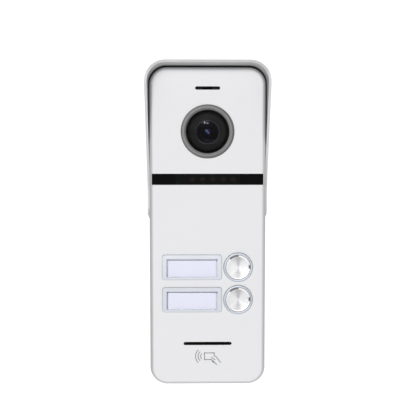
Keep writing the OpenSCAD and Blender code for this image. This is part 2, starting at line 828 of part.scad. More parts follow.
// Button: a metal cap with a dished front, a collar that stops it and a stem for the switch.
module button_cap(n) {
    front = face_d + button_proud;
    dish = 0.2;
    dish_r = (button_r * button_r + dish * dish) / (2 * dish);
    color([0.93, 0.93, 0.94]) difference() {
        union() {
            turned_at(button_x, station_height(n))
                polygon([
                    [0, stem_end], [stem_r, stem_end], [stem_r, collar_back], [collar_r, collar_back],
                    [collar_r, collar_front], [button_r, collar_front], [button_r, front - 0.25],
                    [button_r - 0.25, front], [0, front]
                ]);
        }
        translate([button_x, -(front - dish + dish_r), station_height(n)]) sphere(dish_r, $fn = 160);
    }
}

// Return spring: a coil round the switch, between the board and the button's collar.
function coil_ring(a, r, wire, rise, sides) = [
    for (s = [0 : sides - 1])
        let (t = 360 * s / sides, q = r + wire / 2 * cos(t))
            [q * cos(a), q * sin(a), rise + wire / 2 * sin(t)]
];

module button_spring(n) {
    sides = 8;
    steps = 20 * spring_turns;
    low = button_board_front + spring_gap + spring_wire / 2;
    high = collar_back - spring_gap - spring_wire / 2;
    rings = [
        for (i = [0 : steps]) coil_ring(360 * spring_turns * i / steps, spring_r, spring_wire,
            low + (high - low) * i / steps, sides)
    ];
    walls = [
        for (i = [0 : steps - 1], s = [0 : sides - 1])
            let (a = i * sides + s, b = i * sides + (s + 1) % sides)
                [a, a + sides, b + sides, b]
    ];
    first = [for (s = [0 : sides - 1]) s];
    last = [for (s = [sides - 1 : -1 : 0]) steps * sides + s];
    color([0.72, 0.73, 0.75]) translate([button_x, 0, station_height(n)]) rotate([90, 0, 0])
        polyhedron([for (ring = rings, p = ring) p], concat(walls, [first, last]));
}

// Plunger that the button's stem presses into the switch.
module switch_plunger(n) {
    color([0.15, 0.15, 0.15]) disc_at(button_x, station_height(n), plunger_r, plunger_end, stem_end);
}

// Switch body with the plunger's bore.
module switch_body(n) {
    color([0.1, 0.1, 0.11]) difference() {
        block_at(button_x, station_height(n), switch_w, switch_w, button_board_front, switch_front);
        disc_at(button_x, station_height(n), plunger_r + slide_gap,
            plunger_end - button_travel - 0.15, switch_front + 1);
    }
}

// Button board: it carries both switches and the label lamps.
module button_board() {
    color([0.05, 0.3, 0.15]) difference() {
        block_at(0, button_board_z, button_board_w, button_board_h, button_board_back, button_board_front);
        for (sx = [-1, 1], sz = [-1, 1])
            disc_at(sx * button_post_x, button_board_z + sz * button_post_dz, 0.9,
                button_board_back - 1, button_board_front + 1);
    }
}

// Four screws that hold the button board.
module button_board_screws() {
    color([0.62, 0.63, 0.65])
        for (sx = [-1, 1], sz = [-1, 1])
            rear_screw(sx * button_post_x, button_board_z + sz * button_post_dz, 1.3, 0.5, 0.75,
                button_board_back, button_board_front + 3);
}

// ---- electronics ----

// Main board.
module main_board() {
    color([0.05, 0.3, 0.15]) difference() {
        from_wall(main_board_back, main_board_front)
            rounded_between(main_board_w, main_board_low, main_board_top, 1);
        for (sx = [-1, 1], z = [main_post_low, main_post_top])
            disc_at(sx * main_post_x, z, 1.2, main_board_back - 1, main_board_front + 1);
    }
}

// Soldered parts of the main board: processor, memory, sound chip, coils and capacitors.
module board_parts() {
    front = main_board_front;
    color([0.12, 0.12, 0.13]) {
        block_at(-4, 8, 12, 12, front, front + 1.2);
        block_at(8, 9, 8, 10, front, front + 1);
        block_at(-9, -2, 5, 4, front, front + 1.5);
        for (i = [0 : 1]) disc_at(-3 + 5 * i, -4, 1.9, front, front + 4.5);
        block_at(9, -3.5, 5, 5, front, front + 3);
        for (i = [0 : 3]) block_at(-12 + 8 * i, 25, 3, 1.6, front, front + 1);
    }
}

// Four screws that hold the main board.
module main_board_screws() {
    color([0.62, 0.63, 0.65])
        for (sx = [-1, 1], z = [main_post_low, main_post_top])
            rear_screw(sx * main_post_x, z, 2, 1.2, screw_pilot_r - drop_gap, main_board_back,
                main_board_front + 5);
}

// Cable terminal on the back of the main board: a row of spring clamps.
module cable_terminal() {
    ways = 5;
    pitch = 3.5;
    h = 2.8;
    color([0.15, 0.5, 0.3]) difference() {
        block_at(0, -19, ways * pitch, 7, main_board_back - h, main_board_back);
        for (i = [0 : ways - 1])
            translate([(i - (ways - 1) / 2) * pitch, -(main_board_back - h / 2), -16])
                cylinder(r = 1, h = 3);
    }
}

// ---- assembly ----

rain_hood();
wall_bracket();
locking_screw();
front_housing();
rear_cover();
cover_seal();
cover_screws();
cable_grommet();
lens_ring();
lens_window();
lens_baffle();
lens_barrel();
lens_front_element();
lens_rear_element();
lens_holder();
image_sensor();
camera_board();
camera_screws();
ir_window();
ir_board();
ir_lamps();
light_sensor();
ir_board_screws();
microphone();
mic_boot();
speaker_frame();
speaker_cone();
speaker_magnet();
speaker_gasket();
reader_antenna();
for (n = stations) {
    name_frame(n);
    name_window(n);
    name_label(n);
    light_guide(n);
    button_bezel(n);
    button_cap(n);
    button_spring(n);
    switch_plunger(n);
    switch_body(n);
}
label_lamps();
button_board();
button_board_screws();
main_board();
board_parts();
main_board_screws();
cable_terminal();
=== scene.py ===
# Outdoor call panel of a video intercom: a slim silver housing under a rain hood, on a wall bracket.
# The sections follow the panel as it is put together, from the wall out to the face. Units are metres.
import math

import bmesh
import bpy
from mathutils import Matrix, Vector


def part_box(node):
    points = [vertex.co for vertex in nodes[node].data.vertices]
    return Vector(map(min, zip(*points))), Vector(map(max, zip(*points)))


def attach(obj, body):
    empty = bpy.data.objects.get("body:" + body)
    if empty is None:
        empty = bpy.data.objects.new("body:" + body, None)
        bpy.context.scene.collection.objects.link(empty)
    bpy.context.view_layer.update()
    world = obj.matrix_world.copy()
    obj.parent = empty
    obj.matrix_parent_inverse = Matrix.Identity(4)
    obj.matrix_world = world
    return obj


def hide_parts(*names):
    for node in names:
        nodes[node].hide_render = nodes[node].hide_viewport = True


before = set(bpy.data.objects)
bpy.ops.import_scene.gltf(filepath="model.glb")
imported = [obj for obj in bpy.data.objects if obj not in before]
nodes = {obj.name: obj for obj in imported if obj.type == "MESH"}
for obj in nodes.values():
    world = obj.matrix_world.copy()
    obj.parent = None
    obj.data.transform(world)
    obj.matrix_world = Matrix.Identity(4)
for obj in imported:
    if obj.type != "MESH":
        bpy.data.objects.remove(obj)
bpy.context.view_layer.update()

mm = 0.001


# ---- Wall bracket ----
# A strip of zinc-plated steel, punched and bent, with two hooks near its top and a tapped tab at its foot.
# It goes on the wall first, over the hood's back plate. The plating is bright with a faint crystal pattern.

class Wire:
    """A value, colour or vector on its way through the nodes of one finish."""

    def __init__(self, finish, socket):
        self.finish, self.socket = finish, socket

    def sum_with(self, operation, first, second):
        return self.finish.node("ShaderNodeMath", {"operation": operation}, {0: first, 1: second})

    def __add__(self, other):
        return self.sum_with("ADD", self, other)

    def __sub__(self, other):
        return self.sum_with("SUBTRACT", self, other)

    def __rsub__(self, other):
        return self.sum_with("SUBTRACT", other, self)

    def __mul__(self, other):
        return self.sum_with("MULTIPLY", self, other)

    def __truediv__(self, other):
        return self.sum_with("DIVIDE", self, other)

    def __gt__(self, other):
        return self.sum_with("GREATER_THAN", self, other)

    def __lt__(self, other):
        return self.sum_with("LESS_THAN", self, other)

    __radd__, __rmul__ = __add__, __mul__


class Finish:
    """One material: a Principled shader with constant sockets, and node() to grow what varies."""

    def __init__(self, name, colour, roughness, metallic=0.0, **sockets):
        self.material = bpy.data.materials.new(name)
        self.material.use_nodes = True
        self.tree = self.material.node_tree
        self.shader = self.tree.nodes["Principled BSDF"]
        sockets.update({"Base Color": (*colour, 1), "Roughness": roughness, "Metallic": metallic})
        for socket, value in sockets.items():
            self.shader.inputs[socket.replace("_", " ")].default_value = value

    def node(self, kind, settings, sockets, output=0):
        made = self.tree.nodes.new(kind)
        for setting, value in settings.items():
            setattr(made, setting, value)
        for socket, value in sockets.items():
            if isinstance(value, Wire):
                self.tree.links.new(value.socket, made.inputs[socket])
            else:
                made.inputs[socket].default_value = value
        return Wire(self, made.outputs[output])

    def feed(self, socket, wire):
        self.tree.links.new(wire.socket, self.shader.inputs[socket])

    def place(self):
        """Where a point lies on the panel, in metres."""
        return self.node("ShaderNodeTexCoord", {}, {}, "Object")

    def axis(self, letter, place=None):
        return self.node("ShaderNodeSeparateXYZ", {}, {0: place or self.place()}, letter)

    def stretched(self, scale, centre=(0, 0, 0)):
        """Place, moved to a centre and stretched, for grain that runs one way."""
        moved = self.node("ShaderNodeVectorMath", {"operation": "SUBTRACT"}, {0: self.place(), 1: centre})
        return self.node("ShaderNodeVectorMath", {"operation": "MULTIPLY"}, {0: moved, 1: scale})

    def reach(self, centre, scale=(1, 0, 1)):
        """Distance from an axis that points out of the panel at centre."""
        flat = self.stretched(scale, (centre[0], 0, centre[1]))
        return self.node("ShaderNodeVectorMath", {"operation": "LENGTH"}, {0: flat}, "Value")

    def outward(self, centre):
        """Which way a point lies from that axis, as a vector one long."""
        flat = self.stretched((1, 0, 1), (centre[0], 0, centre[1]))
        return self.node("ShaderNodeVectorMath", {"operation": "NORMALIZE"}, {0: flat})

    def fade(self, wire, start, end):
        """Falls smoothly from 1 at start to 0 at end, or rises when end is less than start."""
        first, last = (1.0, 0.0) if start < end else (0.0, 1.0)
        return self.node("ShaderNodeMapRange", {"interpolation_type": "SMOOTHSTEP"},
                         {0: wire, 1: min(start, end), 2: max(start, end), 3: first, 4: last})

    def glaze(self, straight, flat=0.6):
        """Lets light through: a clear piece mirrors one share head on and another when seen flat."""
        slant = self.node("ShaderNodeLayerWeight", {}, {"Blend": 0.5}, "Facing")
        sharp = self.node("ShaderNodeMath", {"operation": "POWER"}, {0: slant, 1: 5.0})
        self.feed("Alpha", straight + sharp * (flat - straight))

    def noise(self, size, detail=2.0, place=None):
        """Soft noise from 0 to 1 whose blobs are about size across."""
        return self.node("ShaderNodeTexNoise", {},
                         {"Vector": place or self.place(), "Scale": 1 / size, "Detail": detail})

    def mix(self, factor, first, second):
        first, second = [(*c, 1) if isinstance(c, tuple) and len(c) == 3 else c for c in (first, second)]
        return self.node("ShaderNodeMix", {"data_type": "RGBA"}, {0: factor, 6: first, 7: second}, 2)

    def bump(self, height, distance):
        self.feed("Normal", self.node("ShaderNodeBump", {}, {
            "Height": height, "Distance": distance, "Strength": 1.0}))


def shaded(colour, share):
    return tuple(min(1.0, c * share) for c in colour)


def grained(name, colour, roughness, grain, depth, metallic=0.0, cloud=6 * mm, spread=0.12, **sockets):
    """A finish with cloudy colour and roughness over a fine bump; grain is its size and depth its height."""
    made = Finish(name, colour, roughness, metallic, **sockets)
    clouds = made.noise(cloud, 3.0)
    made.feed("Base Color", made.mix(clouds, shaded(colour, 1 - spread), shaded(colour, 1 + spread)))
    made.feed("Roughness", roughness * (1 - spread) + made.noise(cloud / 3) * (2 * spread * roughness))
    made.bump(made.noise(grain), depth)
    return made


def dress(finish, *names):
    """Gives CAD nodes that keep their shape a finish."""
    for name in names:
        nodes[name].data.materials.clear()
        nodes[name].data.materials.append(finish.material)


zinc = Finish("zinc_plate", (0.60, 0.62, 0.65), 0.34, 0.9)
crystals_per_metre = 420.0
crystals = zinc.node("ShaderNodeTexVoronoi", {}, {"Vector": zinc.place(), "Scale": crystals_per_metre})
zinc.feed("Base Color", zinc.mix(crystals, (0.66, 0.68, 0.71), (0.50, 0.52, 0.56)))
zinc.feed("Roughness", 0.28 + zinc.noise(4 * mm, 4.0) * 0.2)
zinc.bump(zinc.noise(0.5 * mm, 3.0), 0.01 * mm)
dress(zinc, "wall_bracket")


# ---- Rain hood ----
# One piece of 1 mm aluminium: a roof and two wings that sweep back to the wall, on a flat back plate.
# Its edges are only broken with a file before it is sprayed in the housing's silver.

def pick(*pieces):
    """Selects these pieces alone and makes the first the active one."""
    bpy.ops.object.select_all(action="DESELECT")
    for piece in pieces:
        piece.select_set(True)
    bpy.context.view_layer.objects.active = pieces[0]


def start(name, kind, **where):
    """Adds a primitive, alone in the selection, with its place in its mesh."""
    bpy.ops.object.select_all(action="DESELECT")
    getattr(bpy.ops.mesh, f"primitive_{kind}_add")(**where)
    piece = bpy.context.object
    bpy.ops.object.transform_apply(location=True, rotation=True, scale=True)
    piece.name = piece.data.name = name
    return piece


def block(name, low, high):
    low, high = Vector(low), Vector(high)
    return start(name, "cube", size=1, location=(low + high) / 2, scale=high - low)


def rod(name, centre, radius, near, far, sides=64):
    """A cylinder that points out of the panel, between two distances from the wall."""
    x, z = centre
    return start(name, "cylinder", radius=radius, depth=far - near, vertices=sides,
                 location=(x, -(near + far) / 2, z), rotation=(math.pi / 2, 0, 0))


def middle(part):
    return sum((v.co for v in part.verts), Vector()) / len(part.verts)


def choose(piece, kind, test):
    """In edit mode, selects the vertices, edges or faces that pass a test."""
    bpy.ops.mesh.select_mode(type=kind)
    bpy.ops.mesh.select_all(action="DESELECT")
    shape = bmesh.from_edit_mesh(piece.data)
    for part in {"VERT": shape.verts, "EDGE": shape.edges, "FACE": shape.faces}[kind]:
        if test(part):
            part.select_set(True)
    shape.select_flush_mode()
    bmesh.update_edit_mesh(piece.data)


def runs_along_y(edge):
    step = edge.verts[1].co - edge.verts[0].co
    return abs(step.y) > 0.9 * step.length


def edit(piece):
    pick(piece)
    bpy.ops.object.mode_set(mode="EDIT")


def leave():
    bpy.ops.object.mode_set(mode="OBJECT")


def round_corners(piece, radius, segments, test=lambda edge: True):
    """Rounds the edges that run straight out of the wall."""
    edit(piece)
    choose(piece, "EDGE", lambda edge: runs_along_y(edge) and test(edge))
    bpy.ops.mesh.bevel(offset=radius, segments=segments, affect="EDGES")
    leave()
    return piece


def finished(piece, kind, **settings):
    """Adds a modifier and applies it."""
    pick(piece)
    modifier = piece.modifiers.new(kind.lower(), kind)
    for setting, value in settings.items():
        setattr(modifier, setting, value)
    bpy.ops.object.modifier_apply(modifier=modifier.name)


def joined(pieces):
    """Makes several pieces one, under the name of the first."""
    pick(*pieces)
    if len(pieces) > 1:
        bpy.ops.object.join()
    return pieces[0]


def carve(piece, operation, tools):
    """Cuts with, adds or keeps what is inside the tools, which are used up."""
    tool = joined(tools)
    finished(piece, "BOOLEAN", operation=operation, object=tool, solver="EXACT", use_self=True)
    bpy.data.objects.remove(tool)


def soften(piece, width, segments=2, angle=35):
    """Breaks the sharp edges, then shades the piece so that flat faces stay flat."""
    edit(piece)
    bpy.ops.mesh.select_all(action="SELECT")
    bpy.ops.mesh.remove_doubles(threshold=0.002 * mm)
    bpy.ops.mesh.dissolve_limited(angle_limit=math.radians(0.5))
    leave()
    finished(piece, "BEVEL", width=width, segments=segments, limit_method="ANGLE",
             angle_limit=math.radians(angle), harden_normals=False, use_clamp_overlap=True)
    bpy.ops.object.shade_smooth_by_angle(angle=math.radians(angle))
    finished(piece, "WEIGHTED_NORMAL", keep_sharp=True)
    return piece


def fit(piece, body, finish, slot, *replaced):
    """Paints a finished piece, sets it on its body and hides the CAD nodes that it stands for."""
    piece.data.materials.clear()
    piece.data.materials.append(finish.material)
    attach(piece, body)
    if replaced:
        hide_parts(*replaced)


hood_low, hood_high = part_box("rain_hood")
panel_low, panel_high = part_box("front_housing")
hood_sheet, hood_corner = 1.0 * mm, 8.15 * mm
brow = hood_high.z - 8 * mm
wing_front = panel_low.y + 7.7 * mm
wing_top, wing_end, wing_fall = 17.5 * mm, 5.0 * mm, 13.5 * mm
blank_foot, blank_spare = -20 * mm, 1 * mm

hood = block("rain_hood_sheet", (hood_low.x, hood_low.y - blank_spare, blank_foot), hood_high)
round_corners(hood, hood_corner, 20, lambda edge: middle(edge).z > 0)
edit(hood)
choose(hood, "FACE", lambda face: face.normal.y < -0.9 or face.normal.z < -0.9)
bpy.ops.mesh.delete(type="FACE")
leave()
finished(hood, "SOLIDIFY", thickness=hood_sheet, offset=-1, use_even_offset=True)

# the side view of the hood, as a slab that keeps only what lies inside it
in_wall, over_roof, slab = 40 * mm, 90 * mm, 80 * mm
outline = [(in_wall, over_roof), (hood_low.y, over_roof), (hood_low.y, brow), (wing_front, wing_top),
           (wing_front, wing_end), (in_wall, wing_end - wing_fall)]
side = start("hood_side_view", "plane", size=mm)
edit(side)
bpy.ops.mesh.select_mode(type="VERT")
bpy.ops.mesh.select_all(action="SELECT")
bpy.ops.mesh.merge(type="CENTER")
bpy.ops.transform.translate(value=(-slab / 2, outline[0][0], outline[0][1]))
for (y, z), (next_y, next_z) in zip(outline, outline[1:]):
    bpy.ops.mesh.extrude_vertices_move(TRANSFORM_OT_translate={"value": (0, next_y - y, next_z - z)})
bpy.ops.mesh.select_all(action="SELECT")
bpy.ops.mesh.edge_face_add()
for y, z, radius in ((hood_low.y, brow, 3.0), (wing_front, wing_top, 3.0), (wing_front, wing_end, 2.5)):
    choose(side, "VERT", lambda v: math.hypot(v.co.y - y, v.co.z - z) < 0.1 * mm)
    bpy.ops.mesh.bevel(offset=radius * mm, segments=8, affect="VERTICES")
bpy.ops.mesh.select_all(action="SELECT")
bpy.ops.mesh.extrude_region_move(TRANSFORM_OT_translate={"value": (slab, 0, 0)})
bpy.ops.mesh.select_all(action="SELECT")
bpy.ops.mesh.normals_make_consistent(inside=False)
leave()
carve(hood, "INTERSECT", [side])

plate_half, plate_top = 20.8 * mm, 30 * mm
screw_z, screw_r, cable_r = 30 * mm, 2.1 * mm, 8 * mm
back_plate = block("hood_back_plate", (-plate_half, -hood_sheet, hood_low.z), (plate_half, 0, plate_top))
round_corners(back_plate, 3 * mm, 8, lambda edge: middle(edge).z < 0)
carve(hood, "UNION", [back_plate])
carve(hood, "DIFFERENCE", [rod("hole", (0, z), radius, -2 * mm, 3 * mm)
                           for z, radius in ((-screw_z, screw_r), (screw_z, screw_r), (0, cable_r))])
soften(hood, 0.2 * mm, 3)

silver = (0.80, 0.80, 0.815)
hood_paint = Finish("hood_silver", silver, 0.42, 0.1, Specular_IOR_Level=0.3)
flakes = hood_paint.noise(0.12 * mm, 1.0)
sprayed = hood_paint.mix(flakes, shaded(silver, 0.93), shaded(silver, 1.07))
facing = hood_paint.node("ShaderNodeNewGeometry", {}, {}, "Normal")

# painted shade inside the hood: grey under the roof, darker on the wings and darkest behind the face
roof_bend = 50 * mm
over_bend = hood_paint.node("ShaderNodeMath", {"operation": "MAXIMUM"},
                            {0: hood_paint.axis("Z") - roof_bend, 1: 0.0})
around = hood_paint.axis("X") * hood_paint.axis("X", facing) + over_bend * hood_paint.axis("Z", facing)
shaded_inside = hood_paint.fade(around, -12 * mm, -4 * mm)
under_roof = hood_paint.fade(hood_paint.axis("Z", facing), -0.9, -0.1)
inside_shade = hood_paint.mix(under_roof, (0.36, 0.36, 0.363), (0.51, 0.51, 0.513))
# painted shade, darkest in the gap where the hood passes behind the face
deepest_shade = hood_paint.fade(hood_paint.axis("Y"), panel_low.y + 2.5 * mm, panel_low.y - 1.5 * mm)
inside_shade = hood_paint.mix(deepest_shade, inside_shade, (0.13, 0.13, 0.132))

# painted shade on the forward-facing front edge, darkest along the roof
shaded_front_edge = hood_paint.axis("Y", facing) < -0.4
along_roof = hood_paint.fade(hood_paint.axis("Z"), 62 * mm, 57 * mm)
front_edge_shade = hood_paint.mix(along_roof, (0.62, 0.62, 0.625), (0.45, 0.45, 0.455))
sprayed = hood_paint.mix(shaded_front_edge, sprayed, front_edge_shade)
hood_paint.feed("Base Color", hood_paint.mix(shaded_inside, sprayed, inside_shade))
hood_paint.feed("Roughness", 0.34 + hood_paint.noise(9 * mm, 3.0) * 0.14)
hood_paint.bump(hood_paint.noise(0.35 * mm, 3.0), 0.006 * mm)
fit(hood, "panel", hood_paint, "hood_aluminium", "rain_hood")


# ---- Rear cover, seal and grommet ----
# A black moulded plate closes the housing from behind, pressed on a silicone ring by four screws.
# The wall cable comes in through a rubber grommet in its middle.

moulded = grained("moulded_black", (0.035, 0.035, 0.038), 0.55, 0.25 * mm, 0.02 * mm)
rubber = grained("soft_rubber", (0.022, 0.022, 0.023), 0.78, 0.15 * mm, 0.008 * mm, Sheen_Weight=0.15)
steel = Finish("screw_steel", (0.62, 0.63, 0.65), 0.28, 1.0)
steel.feed("Roughness", 0.2 + steel.noise(0.8 * mm, 4.0) * 0.25)
steel.feed("Base Color", steel.mix(steel.noise(3 * mm), (0.52, 0.53, 0.56), (0.70, 0.71, 0.72)))
steel.bump(steel.noise(0.2 * mm, 2.0), 0.004 * mm)
dress(moulded, "rear_cover")
dress(rubber, "cover_seal", "cable_grommet")
dress(steel, "cover_screws", "locking_screw")


# ---- Main board ----
# A green glass-fibre board with copper tracks under its solder mask, black chip packages and a green
# five-way terminal for the wall cable. Four screws hold it on posts behind the face.

def solder_mask(name, colour, track):
    """A glossy board whose tracks show as lighter lines on a fine grid."""
    made = Finish(name, colour, 0.32, 0.0, Coat_Weight=0.4, Coat_Roughness=0.15)
    cells_per_metre = 260
    cells = made.node("ShaderNodeTexBrick", {"offset": 0.37, "squash": 0.6}, {
        "Vector": made.stretched((cells_per_metre,) * 3), "Scale": 1.0, "Mortar Size": 0.06,
        "Color1": (0, 0, 0, 1), "Color2": (0, 0, 0, 1), "Mortar": (1, 1, 1, 1)})
    tracks = cells * (made.noise(5 * mm) > 0.47)
    made.feed("Base Color", made.mix(tracks, colour, track))
    made.feed("Roughness", 0.28 + made.noise(2 * mm, 3.0) * 0.12)
    made.bump(tracks + made.noise(0.3 * mm) * 0.3, 0.02 * mm)
    return made


green_mask = solder_mask("green_mask", (0.012, 0.13, 0.055), (0.06, 0.26, 0.10))
packages = grained("chip_package", (0.022, 0.022, 0.024), 0.5, 0.12 * mm, 0.006 * mm)
nylon = grained("terminal_nylon", (0.03, 0.26, 0.13), 0.45, 0.2 * mm, 0.006 * mm)
dress(green_mask, "main_board")
dress(packages, "board_parts")
dress(nylon, "cable_terminal")
dress(steel, "main_board_screws")


# ---- Camera ----
# The camera board carries the sensor under a black holder, and the lens barrel is threaded into that.
# The glass has a violet coating; the blue glints of the front element against the black around it are
# painted into the glass's colour.

black = (0.012, 0.012, 0.012)
barrel_black = grained("barrel_black", black, 0.38, 0.1 * mm, 0.004 * mm)
sensor = grained("sensor_cover", (0.05, 0.06, 0.10), 0.12, 0.6 * mm, 0.002 * mm)
dress(green_mask, "camera_board")
dress(steel, "camera_screws")
dress(barrel_black, "lens_holder", "lens_barrel")
dress(sensor, "image_sensor")


def turned(name, centre, profile, steps=96):
    """A turned piece: its outline, as radius and distance from the wall in mm, is spun round an axis
    that points out of the panel at centre."""
    x, z = centre
    piece = start(name, "plane", size=mm)
    edit(piece)
    bpy.ops.mesh.select_mode(type="VERT")
    bpy.ops.mesh.select_all(action="SELECT")
    bpy.ops.mesh.merge(type="CENTER")
    bpy.ops.transform.translate(value=(x + profile[0][0] * mm, -profile[0][1] * mm, z))
    for (r0, d0), (r1, d1) in zip(profile, profile[1:]):
        bpy.ops.mesh.extrude_vertices_move(
            TRANSFORM_OT_translate={"value": ((r1 - r0) * mm, (d0 - d1) * mm, 0)})
    bpy.ops.mesh.select_all(action="SELECT")
    bpy.ops.mesh.spin(steps=steps, angle=math.tau, center=(x, 0, z), axis=(0, 1, 0))
    bpy.ops.mesh.select_all(action="SELECT")
    bpy.ops.mesh.remove_doubles(threshold=0.003 * mm)
    bpy.ops.mesh.normals_make_consistent(inside=False)
    leave()
    return piece


def smooth(piece, angle=35):
    """Shades a turned piece so that only its true edges stay sharp."""
    pick(piece)
    bpy.ops.object.shade_smooth_by_angle(angle=math.radians(angle))


ring_low, ring_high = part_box("lens_ring")
lens = ((ring_low.x + ring_high.x) / 2, (ring_low.z + ring_high.z) / 2)

# front element: a domed glass with a ground edge
glass_low, glass_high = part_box("lens_front_element")
glass_r = (glass_high.x - glass_low.x) / 2 / mm
glass_back, glass_top = -glass_high.y / mm, -glass_low.y / mm
glass_edge, dome_h, dome_steps = 0.2, 0.93, 14
dome_r = (glass_r ** 2 + dome_h ** 2) / (2 * dome_h)
dome_turn = math.asin(glass_r / dome_r)
dome = []
for i in range(dome_steps + 1):
    turn = dome_turn * (1 - i / dome_steps)
    dome.append((dome_r * math.sin(turn), glass_top - dome_r + dome_r * math.cos(turn)))
element = turned("front_element", lens, [
    (0, glass_back), (glass_r - glass_edge, glass_back), (glass_r, glass_back + glass_edge)] + dome, 72)
smooth(element)

# its coating: faint rings, and a patch of painted blue and violet glints, standing for light that comes back
# from inside
coated = Finish("violet_glass", (0.006, 0.006, 0.008), 0.03, 0.0, Specular_IOR_Level=0.12,
                Specular_Tint=(0.8, 0.78, 1.0, 1))
from_axis = coated.reach(lens)
ring_turns = 5.2
rings = coated.node("ShaderNodeMath", {"operation": "SINE"}, {0: from_axis / mm * ring_turns}) * 0.5 + 0.5
tint = coated.mix(rings, (0.001, 0.001, 0.001), (0.003, 0.003, 0.004))
for x, z, size, painted_glint in ((-0.35, 0.4, 0.7, (0.09, 0.11, 0.17)), (0.4, -0.4, 0.6, (0.11, 0.075, 0.14)),
                         (0.0, -0.1, 0.75, (0.012, 0.035, 0.12)), (0.55, 0.6, 0.6, (0.012, 0.012, 0.06))):
    from_spot = coated.reach((lens[0] + x * mm, lens[1] + z * mm))
    tint = coated.mix(coated.fade(from_spot, 0.1 * mm, size * mm), tint, painted_glint)
coated.feed("Base Color", tint)
ground = coated.fade(from_axis, (glass_r - 0.1) * mm, (glass_r - 0.3) * mm)
coated.feed("Roughness", 0.02 + coated.noise(0.7 * mm, 0.0) * 0.03 + ground * 0.6)
fit(element, "panel", coated, "coated_glass", "lens_front_element")

rear_glass = grained("rear_glass", (0.10, 0.08, 0.22), 0.05, 0.5 * mm, 0.001 * mm, Coat_Weight=1.0)
dress(rear_glass, "lens_rear_element")

# baffle: a stepped black cone, moulded with fine ridges that swallow stray light
baffle_low, baffle_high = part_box("lens_baffle")
baffle_r = (baffle_high.x - baffle_low.x) / 2 / mm
baffle_back, baffle_front = -baffle_high.y / mm, -baffle_low.y / mm
throat_r, mouth_r = glass_r + 0.2, baffle_r - 0.55
ridges, ridge_edge, floor_t = 9, 0.06, 0.25
cone = [(throat_r, baffle_back)]
for i in range(ridges):
    r = throat_r + (mouth_r - throat_r) * (i + 1) / ridges
    d = baffle_back + floor_t + (baffle_front - baffle_back - floor_t) * (i + 1) / ridges
    cone += [(cone[-1][0], d - ridge_edge), (cone[-1][0] + ridge_edge, d), (r, d)]
baffle = turned("lens_baffle_cone", lens, [(baffle_r, baffle_back)] + cone + [
    (baffle_r, baffle_front), (baffle_r, baffle_back)])
smooth(baffle, 25)
matt_black = Finish("matt_black", black, 0.5, 0.0, Specular_IOR_Level=0.2)
off_axis = matt_black.reach(lens)
pale_band = matt_black.fade(off_axis, 6.6 * mm, 7.5 * mm) * matt_black.fade(off_axis, 5.15 * mm, 4.9 * mm)
matt_black.feed("Base Color", matt_black.mix(pale_band, (0.008, 0.008, 0.008), (0.045, 0.045, 0.045)))
matt_black.feed("Roughness", 0.42 + matt_black.noise(1 * mm, 2.0) * 0.2)
matt_black.bump(matt_black.noise(0.12 * mm), 0.006 * mm)
fit(baffle, "panel", matt_black, "dark_baffle", "lens_baffle")

# camera window: a clear disc with a broken edge
window_low, window_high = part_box("lens_window")
window_r = (window_high.x - window_low.x) / 2 / mm
window_back, window_top = -window_high.y / mm, -window_low.y / mm
back_edge, front_edge = 0.1, 0.12
window = turned("lens_window_disc", lens, [
    (0, window_back), (window_r - back_edge, window_back), (window_r, window_back + back_edge),
    (window_r, window_top - front_edge), (window_r - front_edge, window_top), (0, window_top)])
smooth(window, 30)
clear = Finish("clear_window", (1.0, 1.0, 1.0), 0.01, 1.0)
clear.feed("Roughness", 0.004 + clear.noise(6 * mm, 3.0) * 0.012)
clear.glaze(0.006)
fit(window, "panel", clear, "clear_glass", "lens_window")

# lens ring: turned aluminium, dark grey, with the fine rings that the tool left
ring_r, ring_bore = (ring_high.x - ring_low.x) / 2 / mm, window_r + 0.05
ring_seat, ring_lip = -ring_high.y / mm, -ring_low.y / mm
ring = turned("lens_ring_turned", lens, [
    (ring_bore, ring_seat), (ring_r, ring_seat), (ring_r, ring_lip - 0.28), (ring_r - 0.08, ring_lip - 0.09),
    (ring_r - 0.26, ring_lip), (ring_bore + 0.42, ring_lip), (ring_bore + 0.14, ring_lip - 0.1),
    (ring_bore, ring_lip - 0.34), (ring_bore, ring_seat)], 128)
smooth(ring, 30)


def rings_round(finish, centre, pitch):
    """Distance from an axis that points out of the panel, and turning marks of that pitch, from 0 to 1."""
    radius = finish.reach(centre)
    marks = finish.node("ShaderNodeTexNoise", {"noise_dimensions": "1D"},
                        {"W": radius / pitch, "Scale": 1.0, "Detail": 2.0})
    return radius, marks


anodised = Finish("grey_anodised", (0.22, 0.22, 0.222), 0.42, 0.3)
_, marks = rings_round(anodised, lens, 0.55 * mm)
anodised.feed("Base Color", anodised.mix(marks, (0.02, 0.02, 0.02), (0.23, 0.23, 0.23)))
anodised.feed("Roughness", 0.36 + anodised.noise(2 * mm) * 0.1)
anodised.bump(marks, 0.008 * mm)
fit(ring, "panel", anodised, "grey_ring", "lens_ring")


# ---- Infrared lighting ----
# Five smoky lamps and a light sensor stand on a white strip board behind a bar of black acrylic,
# which looks opaque but lets infrared through. Close to it the lamps just show as brown shadows.

white_mask = solder_mask("white_mask", (0.72, 0.72, 0.70), (0.80, 0.80, 0.78))
smoke = grained("smoky_epoxy", (0.09, 0.05, 0.045), 0.12, 1 * mm, 0.002 * mm, Coat_Weight=0.6)
epoxy = grained("cast_epoxy", (0.68, 0.69, 0.67), 0.12, 1 * mm, 0.002 * mm, Coat_Weight=0.6)
dress(white_mask, "ir_board")
dress(smoke, "ir_lamps")
dress(epoxy, "light_sensor")
dress(steel, "ir_board_screws")

